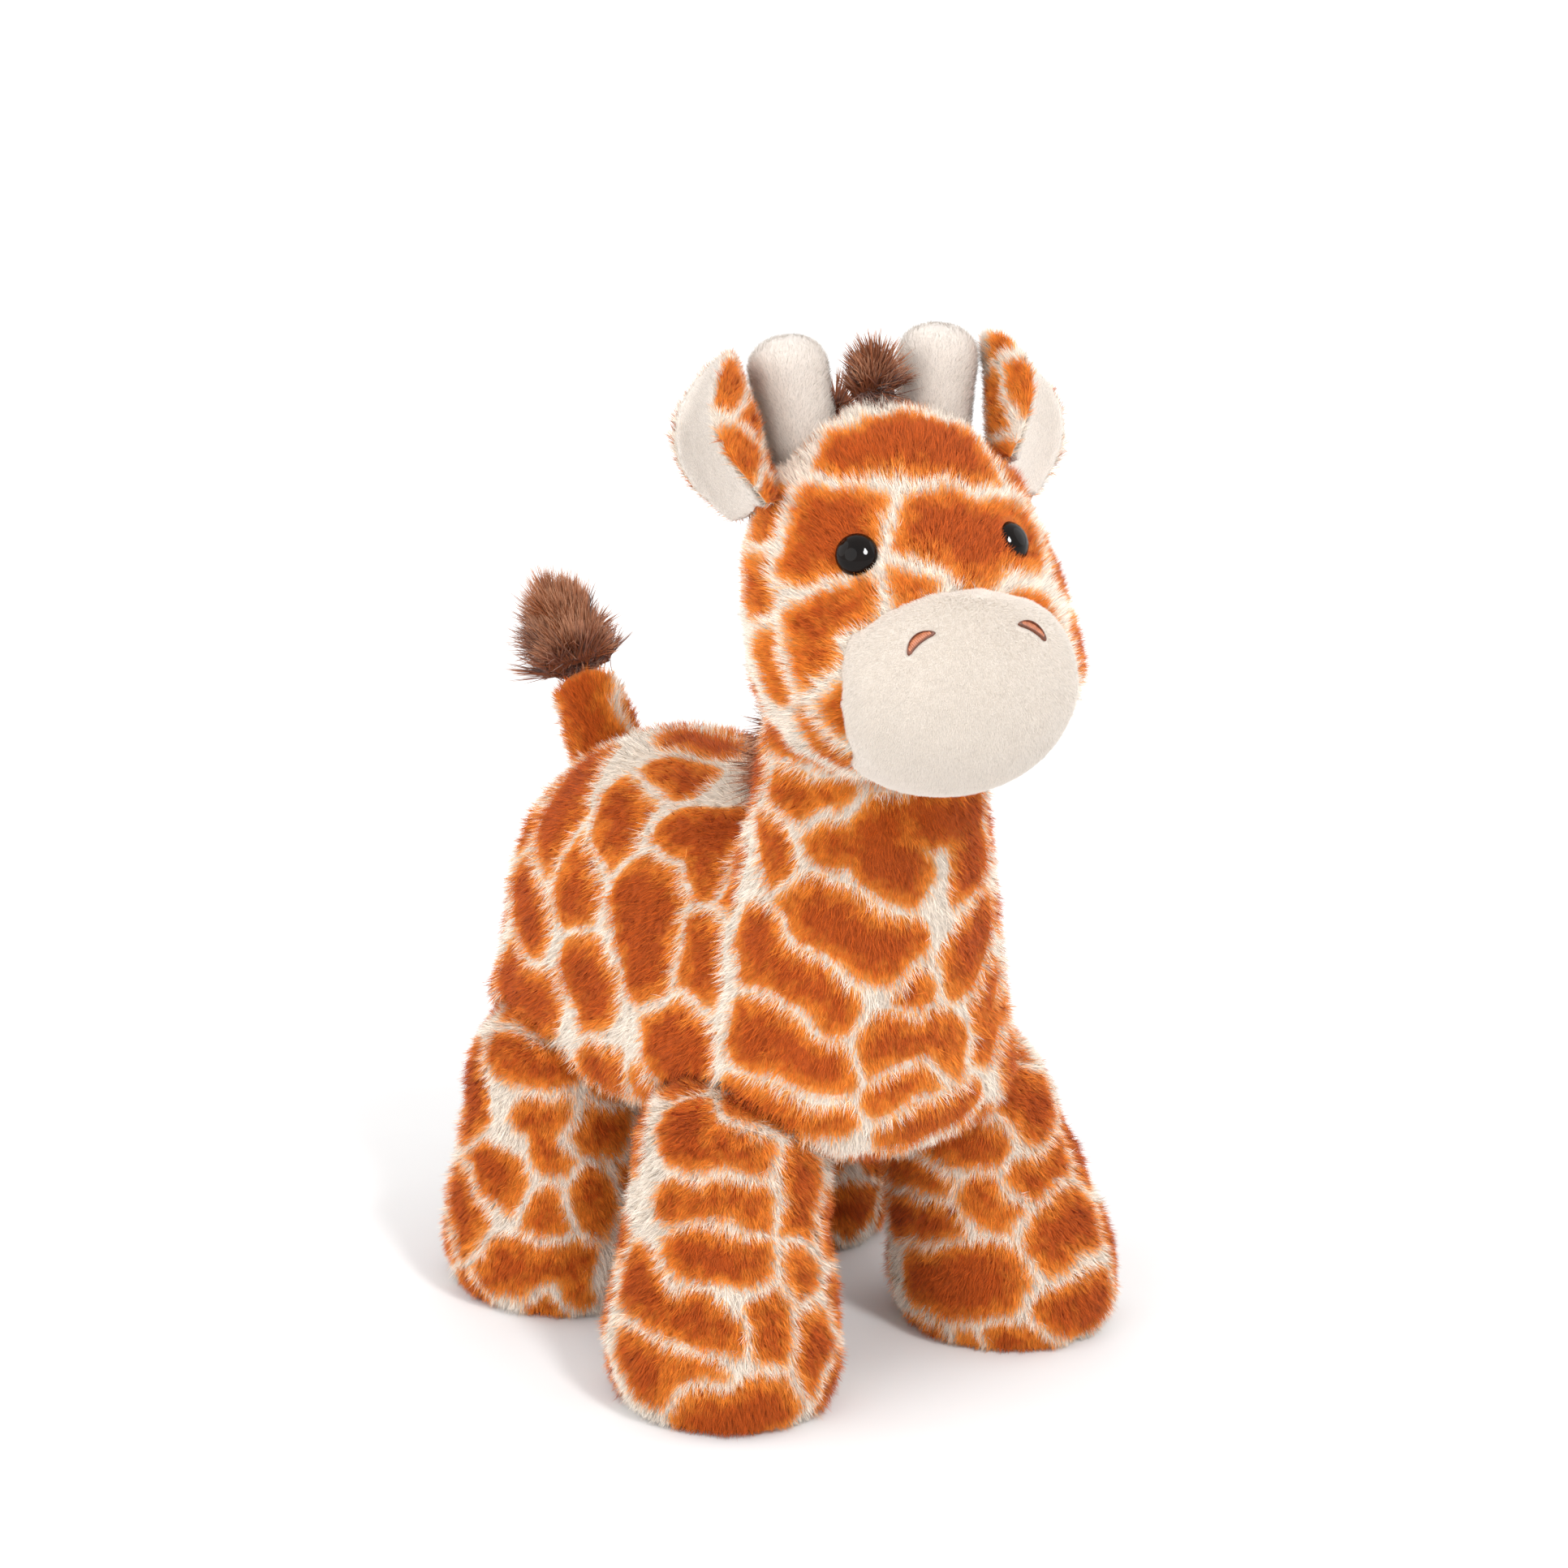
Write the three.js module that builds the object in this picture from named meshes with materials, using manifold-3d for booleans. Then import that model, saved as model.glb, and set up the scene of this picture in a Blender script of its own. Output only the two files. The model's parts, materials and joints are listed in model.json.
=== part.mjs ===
// A stuffed giraffe standing on four legs, sewn from printed plush and filled with fibre.
// Millimetres, +Z up, origin on the floor under the middle of the toy. It faces -Y, and its left is +X.

import * as THREE from 'three';
import { mergeVertices } from 'three/addons/utils/BufferGeometryUtils.js';
import Module from 'manifold-3d';

const wasm = await Module();
wasm.setup();

// Fabric and fit
const COVER = 2.4;
const SOLE = 2.4;
const CLEAR = 0.3;
const SWING_CLEAR = 0.7;
const STUFFING_ROOM = 4;

// Neck and chest, one upright column
const CHEST_WIDTH = 76;
const CHEST_DEPTH = 66;
const CHEST_Y = -38;
const CHEST_Z = 92;
const CHEST_BOTTOM = 56;
const CHEST_HEM_WIDTH = 94;
const CHEST_HEM_DEPTH = 72;
const CHEST_BOTTOM_ROUND = 18;
const NECK_WIDTH = 56;
const NECK_DEPTH = 54;
const NECK_Y = -44;
const NECK_Z = 142;
const NECK_TOP_DIAMETER = 48;
const NECK_TOP_Y = -45;
const NECK_TOP_Z = 168;
const THROAT_DIAMETER = 22;

// Torso, lying behind the chest
const TORSO_WIDTH = 80;
const TORSO_HEIGHT = 88;
const TORSO_FLARE = 1.3;
const TORSO_Y = 34;
const TORSO_Z = 98;
const TORSO_RUMP_ROUND = 42;
const TORSO_RUMP_DROP = 8;
const TORSO_WAIST_WIDTH = 78;
const TORSO_WAIST_HEIGHT = 84;
const TORSO_LENGTH = 115;
const TORSO_NOSE_Y = -30;
const TORSO_REAR = TORSO_NOSE_Y + TORSO_LENGTH;
const TORSO_NOSE_WIDTH = 72;
const TORSO_NOSE_HEIGHT = 68;

// Legs
const FRONT_HIP = { x: 34, y: -35, z: 62 };
const FRONT_FOOT = { x: 43, y: -43 };
const HIND_HIP_INSET = 43;
const HIND_FOOT_INSET = 44;
const HIND_HIP = { x: 33, y: TORSO_REAR - HIND_HIP_INSET, z: 60 };
const HIND_FOOT = { x: 36, y: TORSO_REAR - HIND_FOOT_INSET };
const FOOT_WIDTH = 54;
const FOOT_LENGTH = 60;
const FOOT_HEIGHT = 17;
const FOOT_EDGE_ROUND = 4;
const SHANK_WIDTH = 47;
const SHANK_DEPTH = 51;
const SHANK_Z = 40;
const SHANK_SET = 0.6;
const HIP_WIDTH = 44;
const HIP_DEPTH = 49;
const HIP_ROUND = 15;
const LEG_SWING = 10;

// Head, in a frame at the top of the neck that turns to the toy's right
const HEAD_TURN = 14;
const HEAD_NOD = 12;
const HEAD_BOTTOM = -10;
const HEAD_TOP = 75;
const HEAD_BOTTOM_ROUND = 26;
const HEAD_CROWN_ROUND = 36;
const CHEEK_WIDTH = 79;
const CHEEK_DEPTH = 76;
const CHEEK_FORWARD = 26;
const CHEEK_Z = 16;
const BROW_WIDTH = 71;
const BROW_DEPTH = 71;
const BROW_FORWARD = 12;
const BROW_Z = 46;
const CROWN_WIDTH = 66;
const CROWN_FORWARD = 8;

// Muzzle
const MUZZLE_WIDTH = 65;
const MUZZLE_HEIGHT = 54;
const MUZZLE_DEPTH = 54;
const MUZZLE_BAND = 2;
const MUZZLE_FORWARD = 43;
const MUZZLE_Z = 16.5;
const NOSTRIL_LENGTH = 7.4;
const NOSTRIL_WIDTH = 4.2;
const NOSTRIL_THICKNESS = 0.9;
const NOSTRIL_SPREAD = 33.5;
const NOSTRIL_LIFT = 37;
const NOSTRIL_SLANT = 28;

// Safety eyes
const EYE_DIAMETER = 10;
const EYE_DOME = 4.6;
const EYE_STEM_DIAMETER = 4.2;
const EYE_STEM_LENGTH = 12;
const EYE_RIB = 0.35;
const EYE_RIBS = 3;
const EYE_AZIMUTH = 37;
const EYE_Z = 48;
const EYE_SEAT = 0.7;
const WASHER_DIAMETER = 15;
const WASHER_THICKNESS = 1.6;

// Ears
const EAR_LENGTH = 37;
const EAR_WIDTH = 28;
const EAR_BASE_SHARE = 0.6;
const EAR_LAYER = 1.9;
const EAR_CUP = 85;
const EAR_Z = 53;
const EAR_AZIMUTH = 6;
const EAR_SINK = 2.6;
const EAR_OUT = { right: 9, left: 10 };
const EAR_BACK = { right: 24, left: 31 };
const EAR_FACING = { right: 90, left: 126 };
const EAR_FLAP_OUT = 30;
const EAR_FLAP_IN = 2;

// Horns
const HORN_DIAMETER = 18;
const HORN_TIP_DIAMETER = 20.5;
const HORN_LENGTH = 29;
const HORN_X = 16.5;
const HORN_Y = 4;
const HORN_Z = 61;
const HORN_OUT = 7;
const HORN_BACK = 8;
const HORN_WAG = 10;

// Long-pile trimmings
const FORELOCK_WIDTH = 15;
const FORELOCK_DEPTH = 11;
const FORELOCK_HEIGHT = 11;
const FORELOCK_FORWARD = 0;
const MANE_WIDTH = 11;
const MANE_PROUD = 5;
const HEAD_MANE_LOW = 26;
const HEAD_MANE_HIGH = 70;
const NECK_MANE_LOW = 137;
const NECK_MANE_HIGH = 164;

// Tail
const TAIL_INSET = 17;
const TAIL_Y = TORSO_REAR - TAIL_INSET;
const TAIL_Z = 127;
const TAIL_ROOT_DIAMETER = 20;
const TAIL_DIAMETER = 16.5;
const TAIL_LENGTH = 25;
const TAIL_LEAN = 34;
const TAIL_WAG = 25;
const TUFT_DIAMETER = 22;
const TUFT_LENGTH = 30;
const TUFT_OVERLAP = 7;
const TUFT_SWELL = 14.5;

// Faceting
const SIDES = 20;
const INNER_SIDES = 10;
const SMALL_SIDES = 12;
const DOME_RINGS = 3;
const BODY_RINGS = 5;
const SMALL_RINGS = 2;
const MANE_RINGS = 3;
const EAR_RINGS = 14;
const EAR_COLUMNS = 10;

// Numbers that every piece shares
const BLUNT_END = 1 / 3;
const POLE_SIZE = 1e-6;
const FAR = 500;

const Y_AXIS = new THREE.Vector3(0, 1, 0);
const Z_AXIS = new THREE.Vector3(0, 0, 1);
const SIDE_NAMES = { right: -1, left: 1 };
const rad = THREE.MathUtils.degToRad;

const plush = (color) => new THREE.MeshStandardMaterial({ color, roughness: 0.95, metalness: 0 });
const PRINT = plush(0xc0622a);
const CREAM = plush(0xf3e9dc);
const BROWN = plush(0x6b3e26);
const FIBRE = plush(0xf4f4f0);
const THREAD = plush(0xb5714c);
const GLOSS = new THREE.MeshStandardMaterial({ color: 0x140c08, roughness: 0.08, metalness: 0 });
const WASHER = new THREE.MeshStandardMaterial({ color: 0xe8e8e4, roughness: 0.5, metalness: 0 });

// A station of a stuffed form: its height along the form, its centre and its full width and depth.
const station = (z, width, depth, x = 0, y = 0) => ({ z, hx: width / 2, hy: depth / 2, x, y });

// The section of a form at height z: a smooth curve through the stations on either side of it.
function sectionAt(stations, z) {
  const last = stations.length - 1;
  const height = THREE.MathUtils.clamp(z, stations[0].z, stations[last].z);
  let low = 0;
  while (low + 2 <= last && height > stations[low + 1].z) low += 1;
  const [a, b] = [stations[low], stations[low + 1]];
  const before = stations[Math.max(low - 1, 0)];
  const after = stations[Math.min(low + 2, last)];
  const span = b.z - a.z;
  const t = (height - a.z) / span;
  const blend = (key) => {
    const slopeA = ((b[key] - before[key]) / (b.z - before.z)) * span;
    const slopeB = ((after[key] - a[key]) / (after.z - a.z)) * span;
    const rise = b[key] - a[key];
    return a[key] + t * slopeA + t * t * (3 * rise - 2 * slopeA - slopeB)
      + t * t * t * (slopeA + slopeB - 2 * rise);
  };
  return { x: blend('x'), y: blend('y'), hx: blend('hx'), hy: blend('hy') };
}

// A closed surface from rings of points. A ring of one point is a pole, and a full end ring gets a cap.
function skinOver(rings) {
  const points = [];
  const faces = [];
  const starts = rings.map((ring) => {
    const start = points.length / 3;
    ring.forEach((p) => points.push(...p));
    return start;
  });
  const fan = (centre, start, count, up) => {
    for (let i = 0; i < count; i += 1) {
      const [p, q] = [start + i, start + ((i + 1) % count)];
      faces.push(...(up ? [centre, p, q] : [centre, q, p]));
    }
  };
  const cap = (ring, start, up) => {
    const centre = points.length / 3;
    [0, 1, 2].forEach((k) => points.push(ring.reduce((sum, p) => sum + p[k], 0) / ring.length));
    fan(centre, start, ring.length, up);
  };
  for (let r = 0; r + 1 < rings.length; r += 1) {
    const [lower, upper] = [rings[r], rings[r + 1]];
    const [a, b] = [starts[r], starts[r + 1]];
    if (lower.length === 1) fan(a, b, upper.length, false);
    else if (upper.length === 1) fan(b, a, lower.length, true);
    else {
      for (let i = 0; i < lower.length; i += 1) {
        const j = (i + 1) % lower.length;
        faces.push(a + i, a + j, b + j, a + i, b + j, b + i);
      }
    }
  }
  const top = rings.length - 1;
  if (rings[0].length > 1) cap(rings[0], starts[0], false);
  if (rings[top].length > 1) cap(rings[top], starts[top], true);
  const geometry = new THREE.BufferGeometry();
  geometry.setAttribute('position', new THREE.Float32BufferAttribute(points, 3));
  geometry.setIndex(faces);
  return geometry;
}

// The reach of a form that has grown all round by grow: its ends, and the domes that round them off.
function reachOf({ stations, lowDome, highDome }, grow) {
  return {
    low: stations[0].z - (lowDome ? grow : 0),
    high: stations.at(-1).z + (highDome ? grow : 0),
    bottom: lowDome && lowDome + grow,
    top: highDome && highDome + grow,
  };
}

// The ring of points round a form at height z, as a function of the angle. It is drawn in over the domes,
// and a form with a flare is wider on its +y side.
function ringAt(form, z, grow = 0) {
  const { low, high, bottom, top } = reachOf(form, grow);
  const below = bottom ? Math.max(0, (low + bottom - z) / bottom) : 0;
  const above = top ? Math.max(0, (z - high + top) / top) : 0;
  const size = Math.sqrt(Math.max(0, (1 - below ** 2) * (1 - above ** 2)));
  const s = sectionAt(form.stations, z);
  const flare = (angle) => 1 + (form.flare ?? 0) * Math.max(0, Math.sin(angle)) ** 2;
  const at = (angle) => [
    s.x + size * (s.hx + grow) * Math.cos(angle) * flare(angle),
    s.y + size * (s.hy + grow) * Math.sin(angle),
    z,
  ];
  return { size, at };
}

// A stuffed form along +Z that swells and tapers through its stations. Each end is a dome of the given
// height, or flat where that is 0. The form grows or shrinks all round by grow.
function stuffedForm(form, grow = 0) {
  const { sides = SIDES, rings = BODY_RINGS } = form;
  const { low, high, bottom, top } = reachOf(form, grow);
  const domeStep = (k) => 1 - Math.cos((Math.PI / 2) * (k / DOME_RINGS));
  const heights = [];
  for (let k = 0; k < DOME_RINGS && bottom; k += 1) heights.push(low + bottom * domeStep(k));
  for (let k = 0; k <= rings; k += 1) {
    heights.push(low + bottom + ((high - top - low - bottom) * k) / rings);
  }
  for (let k = DOME_RINGS - 1; k >= 0 && top; k -= 1) heights.push(high - top * domeStep(k));
  return skinOver(heights.map((z) => {
    const { size, at } = ringAt(form, z, grow);
    if (size < POLE_SIZE) return [at(0)];
    return Array.from({ length: sides }, (_, i) => at((2 * Math.PI * i) / sides));
  }));
}

// A point on a form's surface and the direction that the surface faces there.
function surfaceAt(form, z, angle) {
  const step = 0.01;
  const point = (height, turn) => new THREE.Vector3(...ringAt(form, height).at(turn));
  const place = point(z, angle);
  const round = point(z, angle + step).sub(place);
  const up = point(z + step, angle).sub(place);
  return { place, normal: round.cross(up).normalize() };
}

// The room inside a form's cover, and the fibre that fills it: plainer than the outside.
const plainer = (form) => ({ ...form, sides: Math.min(form.sides ?? SIDES, INNER_SIDES) });
const hollowOf = (form) => stuffedForm(plainer(form), -COVER);
const fillOf = (form) => stuffedForm(plainer(form), -COVER - CLEAR);

// An upright form laid back so that its spine runs along +Y. Its stations' y then counts downwards.
const laid = (geometry) => geometry.rotateX(-Math.PI / 2);

// A closed three.js geometry as a solid, moved by a matrix where one is given.
function solidOf(geometry, matrix) {
  const bare = geometry.clone();
  bare.deleteAttribute('normal');
  bare.deleteAttribute('uv');
  const merged = mergeVertices(bare);
  if (matrix) merged.applyMatrix4(matrix);
  return new wasm.Manifold(new wasm.Mesh({
    numProp: 3,
    vertProperties: new Float32Array(merged.getAttribute('position').array),
    triVerts: new Uint32Array(merged.getIndex().array),
  }));
}

// A solid as a named mesh.
function meshOf(name, solid, material) {
  const { vertProperties, triVerts } = solid.getMesh();
  const geometry = new THREE.BufferGeometry();
  geometry.setAttribute('position', new THREE.Float32BufferAttribute(vertProperties, 3));
  geometry.setIndex(Array.from(triVerts));
  geometry.computeVertexNormals();
  const mesh = new THREE.Mesh(geometry, material);
  mesh.name = name;
  return mesh;
}

const joined = (solids) => solids.reduce((all, one) => all.add(one));

// Every place that a shape passes through as it turns about the X axis at its origin, between two angles.
function swept(geometry, [from, to], before, after = new THREE.Matrix4()) {
  return joined([from, 0, to].map((angle) => {
    const turn = new THREE.Matrix4().makeRotationX(rad(angle));
    return solidOf(geometry, before.clone().multiply(turn).multiply(after));
  }));
}

const matrixOf = (object) => {
  object.updateMatrix();
  return object.matrix.clone();
};

const box = (low, high) => {
  const size = high.map((v, i) => v - low[i]);
  const middle = high.map((v, i) => (v + low[i]) / 2);
  return new THREE.BoxGeometry(...size).translate(...middle);
};

// A round bar along Z between two heights.
function bar(diameter, low, high) {
  const upright = new THREE.CylinderGeometry(diameter / 2, diameter / 2, high - low, SMALL_SIDES);
  return upright.rotateX(Math.PI / 2).translate(0, 0, (low + high) / 2);
}

const giraffe = new THREE.Group();

// Legs: a sock with a rounded hip, its fibre and a flat sole.
function legForm(hip, foot, side) {
  const out = (foot.x - hip.x) * side;
  const along = foot.y - hip.y;
  const at = (z, width, depth, share) => station(z - hip.z, width, depth, out * share, along * share);
  return {
    stations: [
      at(0, FOOT_WIDTH - 2 * FOOT_EDGE_ROUND, FOOT_LENGTH - 2 * FOOT_EDGE_ROUND, 1),
      at(FOOT_EDGE_ROUND, FOOT_WIDTH - FOOT_EDGE_ROUND / 2, FOOT_LENGTH - FOOT_EDGE_ROUND / 2, 1),
      at(FOOT_HEIGHT, FOOT_WIDTH, FOOT_LENGTH, 1),
      at(SHANK_Z, SHANK_WIDTH, SHANK_DEPTH, SHANK_SET),
      at(hip.z, HIP_WIDTH, HIP_DEPTH, 0),
      at(hip.z + HIP_ROUND, HIP_WIDTH, HIP_DEPTH, 0),
    ],
    lowDome: 0,
    highDome: HIP_ROUND,
    rings: BODY_RINGS + 2,
  };
}

const legPaths = [];
const legRooms = [];
for (const [end, hip, foot] of [['front', FRONT_HIP, FRONT_FOOT], ['hind', HIND_HIP, HIND_FOOT]]) {
  for (const [sideName, side] of Object.entries(SIDE_NAMES)) {
    const form = legForm(hip, foot, side);
    const group = new THREE.Group();
    group.position.set(hip.x * side, hip.y, hip.z);
    const floor = -hip.z;
    const aboveSole = solidOf(box([-FAR, -FAR, floor + SOLE + CLEAR], [FAR, FAR, FAR]));
    const soleSlab = solidOf(box([-FAR, -FAR, floor - FAR], [FAR, FAR, floor + SOLE]));
    const skin = solidOf(stuffedForm(form));
    const inside = solidOf(hollowOf(form));
    const fill = solidOf(fillOf(form));
    const name = `${end}_${sideName}_leg`;
    group.add(meshOf(`${name}_cover`, skin.subtract(inside).intersect(aboveSole), PRINT));
    group.add(meshOf(`${name}_stuffing`, fill.intersect(aboveSole), FIBRE));
    group.add(meshOf(`${end}_${sideName}_sole`, skin.intersect(soleSlab), PRINT));
    legPaths.push(swept(stuffedForm(form, SWING_CLEAR), [-LEG_SWING, LEG_SWING], matrixOf(group)));
    legRooms.push(solidOf(stuffedForm(plainer(form), STUFFING_ROOM), matrixOf(group)));
    giraffe.add(group);
  }
}
const legPath = joined(legPaths);
const legRoom = joined(legRooms);

// Neck and chest column, with a round top that the head sits over.
const neckForm = {
  stations: [
    station(CHEST_BOTTOM, CHEST_HEM_WIDTH, CHEST_HEM_DEPTH, 0, CHEST_Y),
    station(CHEST_Z, CHEST_WIDTH, CHEST_DEPTH, 0, CHEST_Y),
    station(NECK_Z, NECK_WIDTH, NECK_DEPTH, 0, NECK_Y),
    station(NECK_TOP_Z, NECK_TOP_DIAMETER, NECK_TOP_DIAMETER, 0, NECK_TOP_Y),
    station(NECK_TOP_Z + NECK_TOP_DIAMETER / 2, NECK_TOP_DIAMETER, NECK_TOP_DIAMETER, 0, NECK_TOP_Y),
  ],
  lowDome: CHEST_BOTTOM_ROUND,
  highDome: NECK_TOP_DIAMETER / 2,
};
const throatBar = bar(THROAT_DIAMETER, NECK_TOP_Z, NECK_TOP_Z + NECK_TOP_DIAMETER);
const throat = solidOf(throatBar.translate(0, NECK_TOP_Y, 0));
const neckInside = solidOf(hollowOf(neckForm));
const neckFill = solidOf(fillOf(neckForm));
const neckRoom = solidOf(stuffedForm(neckForm, CLEAR));
giraffe.add(meshOf(
  'neck_cover',
  solidOf(stuffedForm(neckForm)).subtract(neckInside).subtract(throat).subtract(legPath),
  PRINT,
));
giraffe.add(meshOf('neck_stuffing', neckFill.subtract(legRoom), FIBRE));

// Tail, with a rounded root in the rump and a long-pile tuft over its end.
const tail = new THREE.Group();
tail.position.set(0, TAIL_Y, TAIL_Z);
tail.rotation.x = -rad(TAIL_LEAN);
const tailForm = {
  stations: [
    station(-TAIL_ROOT_DIAMETER / 2, TAIL_ROOT_DIAMETER, TAIL_ROOT_DIAMETER),
    station(0, TAIL_ROOT_DIAMETER, TAIL_ROOT_DIAMETER),
    station(TAIL_LENGTH, TAIL_DIAMETER, TAIL_DIAMETER),
  ],
  lowDome: TAIL_ROOT_DIAMETER / 2,
  highDome: TAIL_DIAMETER * BLUNT_END,
  sides: SMALL_SIDES,
  rings: SMALL_RINGS,
};
const tuftForm = {
  stations: [
    station(TAIL_LENGTH - TUFT_OVERLAP, TAIL_DIAMETER, TAIL_DIAMETER),
    station(TAIL_LENGTH - TUFT_OVERLAP + TUFT_SWELL, TUFT_DIAMETER, TUFT_DIAMETER),
    station(TAIL_LENGTH - TUFT_OVERLAP + TUFT_LENGTH, TUFT_DIAMETER, TUFT_DIAMETER),
  ],
  lowDome: TUFT_OVERLAP / 2,
  highDome: TUFT_LENGTH / 2,
  sides: SMALL_SIDES,
  rings: SMALL_RINGS,
};
const tailMouth = solidOf(bar(TAIL_ROOT_DIAMETER / 2, -TAIL_ROOT_DIAMETER, 0));
const tailRoom = solidOf(stuffedForm(tailForm, CLEAR));
tail.add(meshOf(
  'tail_cover',
  solidOf(stuffedForm(tailForm)).subtract(solidOf(hollowOf(tailForm))).subtract(tailMouth),
  PRINT,
));
tail.add(meshOf('tail_stuffing', solidOf(fillOf(tailForm)), FIBRE));
tail.add(meshOf('tail_tuft', solidOf(stuffedForm(tuftForm)).subtract(tailRoom), BROWN));
giraffe.add(tail);
const tailPath = swept(stuffedForm(tailForm, SWING_CLEAR), [-TAIL_WAG, TAIL_WAG], matrixOf(tail));

// Torso, cut where the chest, the legs and the tail join it.
const torsoForm = {
  stations: [
    station(TORSO_NOSE_Y, TORSO_NOSE_WIDTH, TORSO_NOSE_HEIGHT, 0, -TORSO_Z),
    station(0, TORSO_WAIST_WIDTH, TORSO_WAIST_HEIGHT, 0, -TORSO_Z),
    station(TORSO_Y, TORSO_WIDTH, TORSO_HEIGHT, 0, -TORSO_Z),
    station(TORSO_REAR, TORSO_WIDTH, TORSO_HEIGHT, 0, TORSO_RUMP_DROP - TORSO_Z),
  ],
  lowDome: 0,
  highDome: TORSO_RUMP_ROUND,
  flare: TORSO_FLARE,
};
const torsoCuts = neckRoom.add(legPath).add(tailPath);
const tailHollow = solidOf(stuffedForm(plainer(tailForm), STUFFING_ROOM), matrixOf(tail));
const torsoRooms = neckRoom.add(legRoom).add(tailHollow);
giraffe.add(meshOf(
  'torso_cover',
  solidOf(laid(stuffedForm(torsoForm))).subtract(solidOf(laid(hollowOf(torsoForm)))).subtract(torsoCuts),
  PRINT,
));
giraffe.add(meshOf('torso_stuffing', solidOf(laid(fillOf(torsoForm))).subtract(torsoRooms), FIBRE));

// Head: the cover has openings for the neck, the muzzle, the horns and the eye stems.
const head = new THREE.Group();
head.position.set(0, NECK_TOP_Y, NECK_TOP_Z);
head.rotation.z = -rad(HEAD_TURN);
const headForm = {
  stations: [
    station(HEAD_BOTTOM, CHEEK_WIDTH, CHEEK_DEPTH, 0, -CHEEK_FORWARD),
    station(CHEEK_Z, CHEEK_WIDTH, CHEEK_DEPTH, 0, -CHEEK_FORWARD),
    station(BROW_Z, BROW_WIDTH, BROW_DEPTH, 0, -BROW_FORWARD),
    station(HEAD_TOP, CROWN_WIDTH, CROWN_WIDTH, 0, -CROWN_FORWARD),
  ],
  lowDome: HEAD_BOTTOM_ROUND,
  highDome: HEAD_CROWN_ROUND,
};
const headRoom = stuffedForm(headForm, CLEAR);
const intoHead = matrixOf(head).invert();
const neckSwing = stuffedForm(neckForm, SWING_CLEAR);
const neckPath = swept(neckSwing, [-HEAD_NOD, HEAD_NOD], new THREE.Matrix4(), intoHead);
const neckHollow = solidOf(stuffedForm(plainer(neckForm), STUFFING_ROOM), intoHead);

// Muzzle, a fuller cream cushion on the front of the head.
const muzzleForm = {
  stations: [
    station(-MUZZLE_DEPTH / 2, MUZZLE_WIDTH, MUZZLE_HEIGHT),
    station(0, MUZZLE_WIDTH, MUZZLE_HEIGHT),
    station(MUZZLE_DEPTH / 2, MUZZLE_WIDTH, MUZZLE_HEIGHT),
  ],
  lowDome: (MUZZLE_DEPTH - MUZZLE_BAND) / 2,
  highDome: (MUZZLE_DEPTH - MUZZLE_BAND) / 2,
  rings: 1,
};
const muzzleAt = new THREE.Matrix4().makeTranslation(0, -MUZZLE_FORWARD, MUZZLE_Z);
const muzzleSkin = solidOf(laid(stuffedForm(muzzleForm)), muzzleAt);
const muzzleInside = solidOf(laid(hollowOf(muzzleForm)), muzzleAt);
const muzzleFill = solidOf(laid(fillOf(muzzleForm)), muzzleAt);
const muzzleRoom = solidOf(laid(stuffedForm(muzzleForm, CLEAR)), muzzleAt);
head.add(meshOf('muzzle_cover', muzzleSkin.subtract(muzzleInside).subtract(solidOf(headRoom)), CREAM));
head.add(meshOf('muzzle_stuffing', muzzleFill.subtract(solidOf(hollowOf(headForm))), FIBRE));

// Embroidered nostrils, small slanted ovals of thread on the muzzle.
for (const [sideName, side] of Object.entries(SIDE_NAMES)) {
  const lift = rad(NOSTRIL_LIFT);
  const spread = rad(NOSTRIL_SPREAD * side);
  const half = new THREE.Vector3(MUZZLE_WIDTH / 2, MUZZLE_DEPTH / 2, MUZZLE_HEIGHT / 2);
  const unit = new THREE.Vector3(
    Math.sin(spread) * Math.cos(lift),
    -Math.cos(spread) * Math.cos(lift),
    Math.sin(lift),
  );
  const place = unit.clone().multiply(half);
  const normal = unit.clone().divide(half).normalize();
  const patch = new THREE.Mesh(
    new THREE.CylinderGeometry(NOSTRIL_LENGTH / 2, NOSTRIL_LENGTH / 2, NOSTRIL_THICKNESS, SMALL_SIDES),
  );
  patch.geometry.scale(1, 1, NOSTRIL_WIDTH / NOSTRIL_LENGTH).rotateY(rad(NOSTRIL_SLANT) * side);
  patch.quaternion.setFromUnitVectors(Y_AXIS, normal);
  patch.position.copy(place).addScaledVector(normal, NOSTRIL_THICKNESS / 2);
  const seated = solidOf(patch.geometry, muzzleAt.clone().multiply(matrixOf(patch)));
  head.add(meshOf(`nostril_${sideName}`, seated.subtract(muzzleRoom), THREAD));
}

// Safety eyes: a glossy dome on a ribbed stem, held behind the cover by a washer.
function eyeProfile() {
  const [radius, stem] = [EYE_DIAMETER / 2, EYE_STEM_DIAMETER / 2];
  const points = [new THREE.Vector2(0, -EYE_STEM_LENGTH)];
  const pitch = EYE_STEM_LENGTH / (2 * EYE_RIBS);
  for (let k = 0; k < EYE_RIBS; k += 1) {
    const y = -EYE_STEM_LENGTH + 2 * k * pitch;
    points.push(new THREE.Vector2(stem - EYE_RIB, y), new THREE.Vector2(stem, y + pitch));
  }
  points.push(new THREE.Vector2(stem, 0), new THREE.Vector2(radius, 0));
  for (let k = 1; k < DOME_RINGS; k += 1) {
    const angle = (Math.PI / 2) * (k / DOME_RINGS);
    points.push(new THREE.Vector2(radius * Math.cos(angle), EYE_DOME * Math.sin(angle)));
  }
  points.push(new THREE.Vector2(0, EYE_DOME));
  return new THREE.LatheGeometry(points, SMALL_SIDES).rotateX(Math.PI / 2);
}

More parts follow.
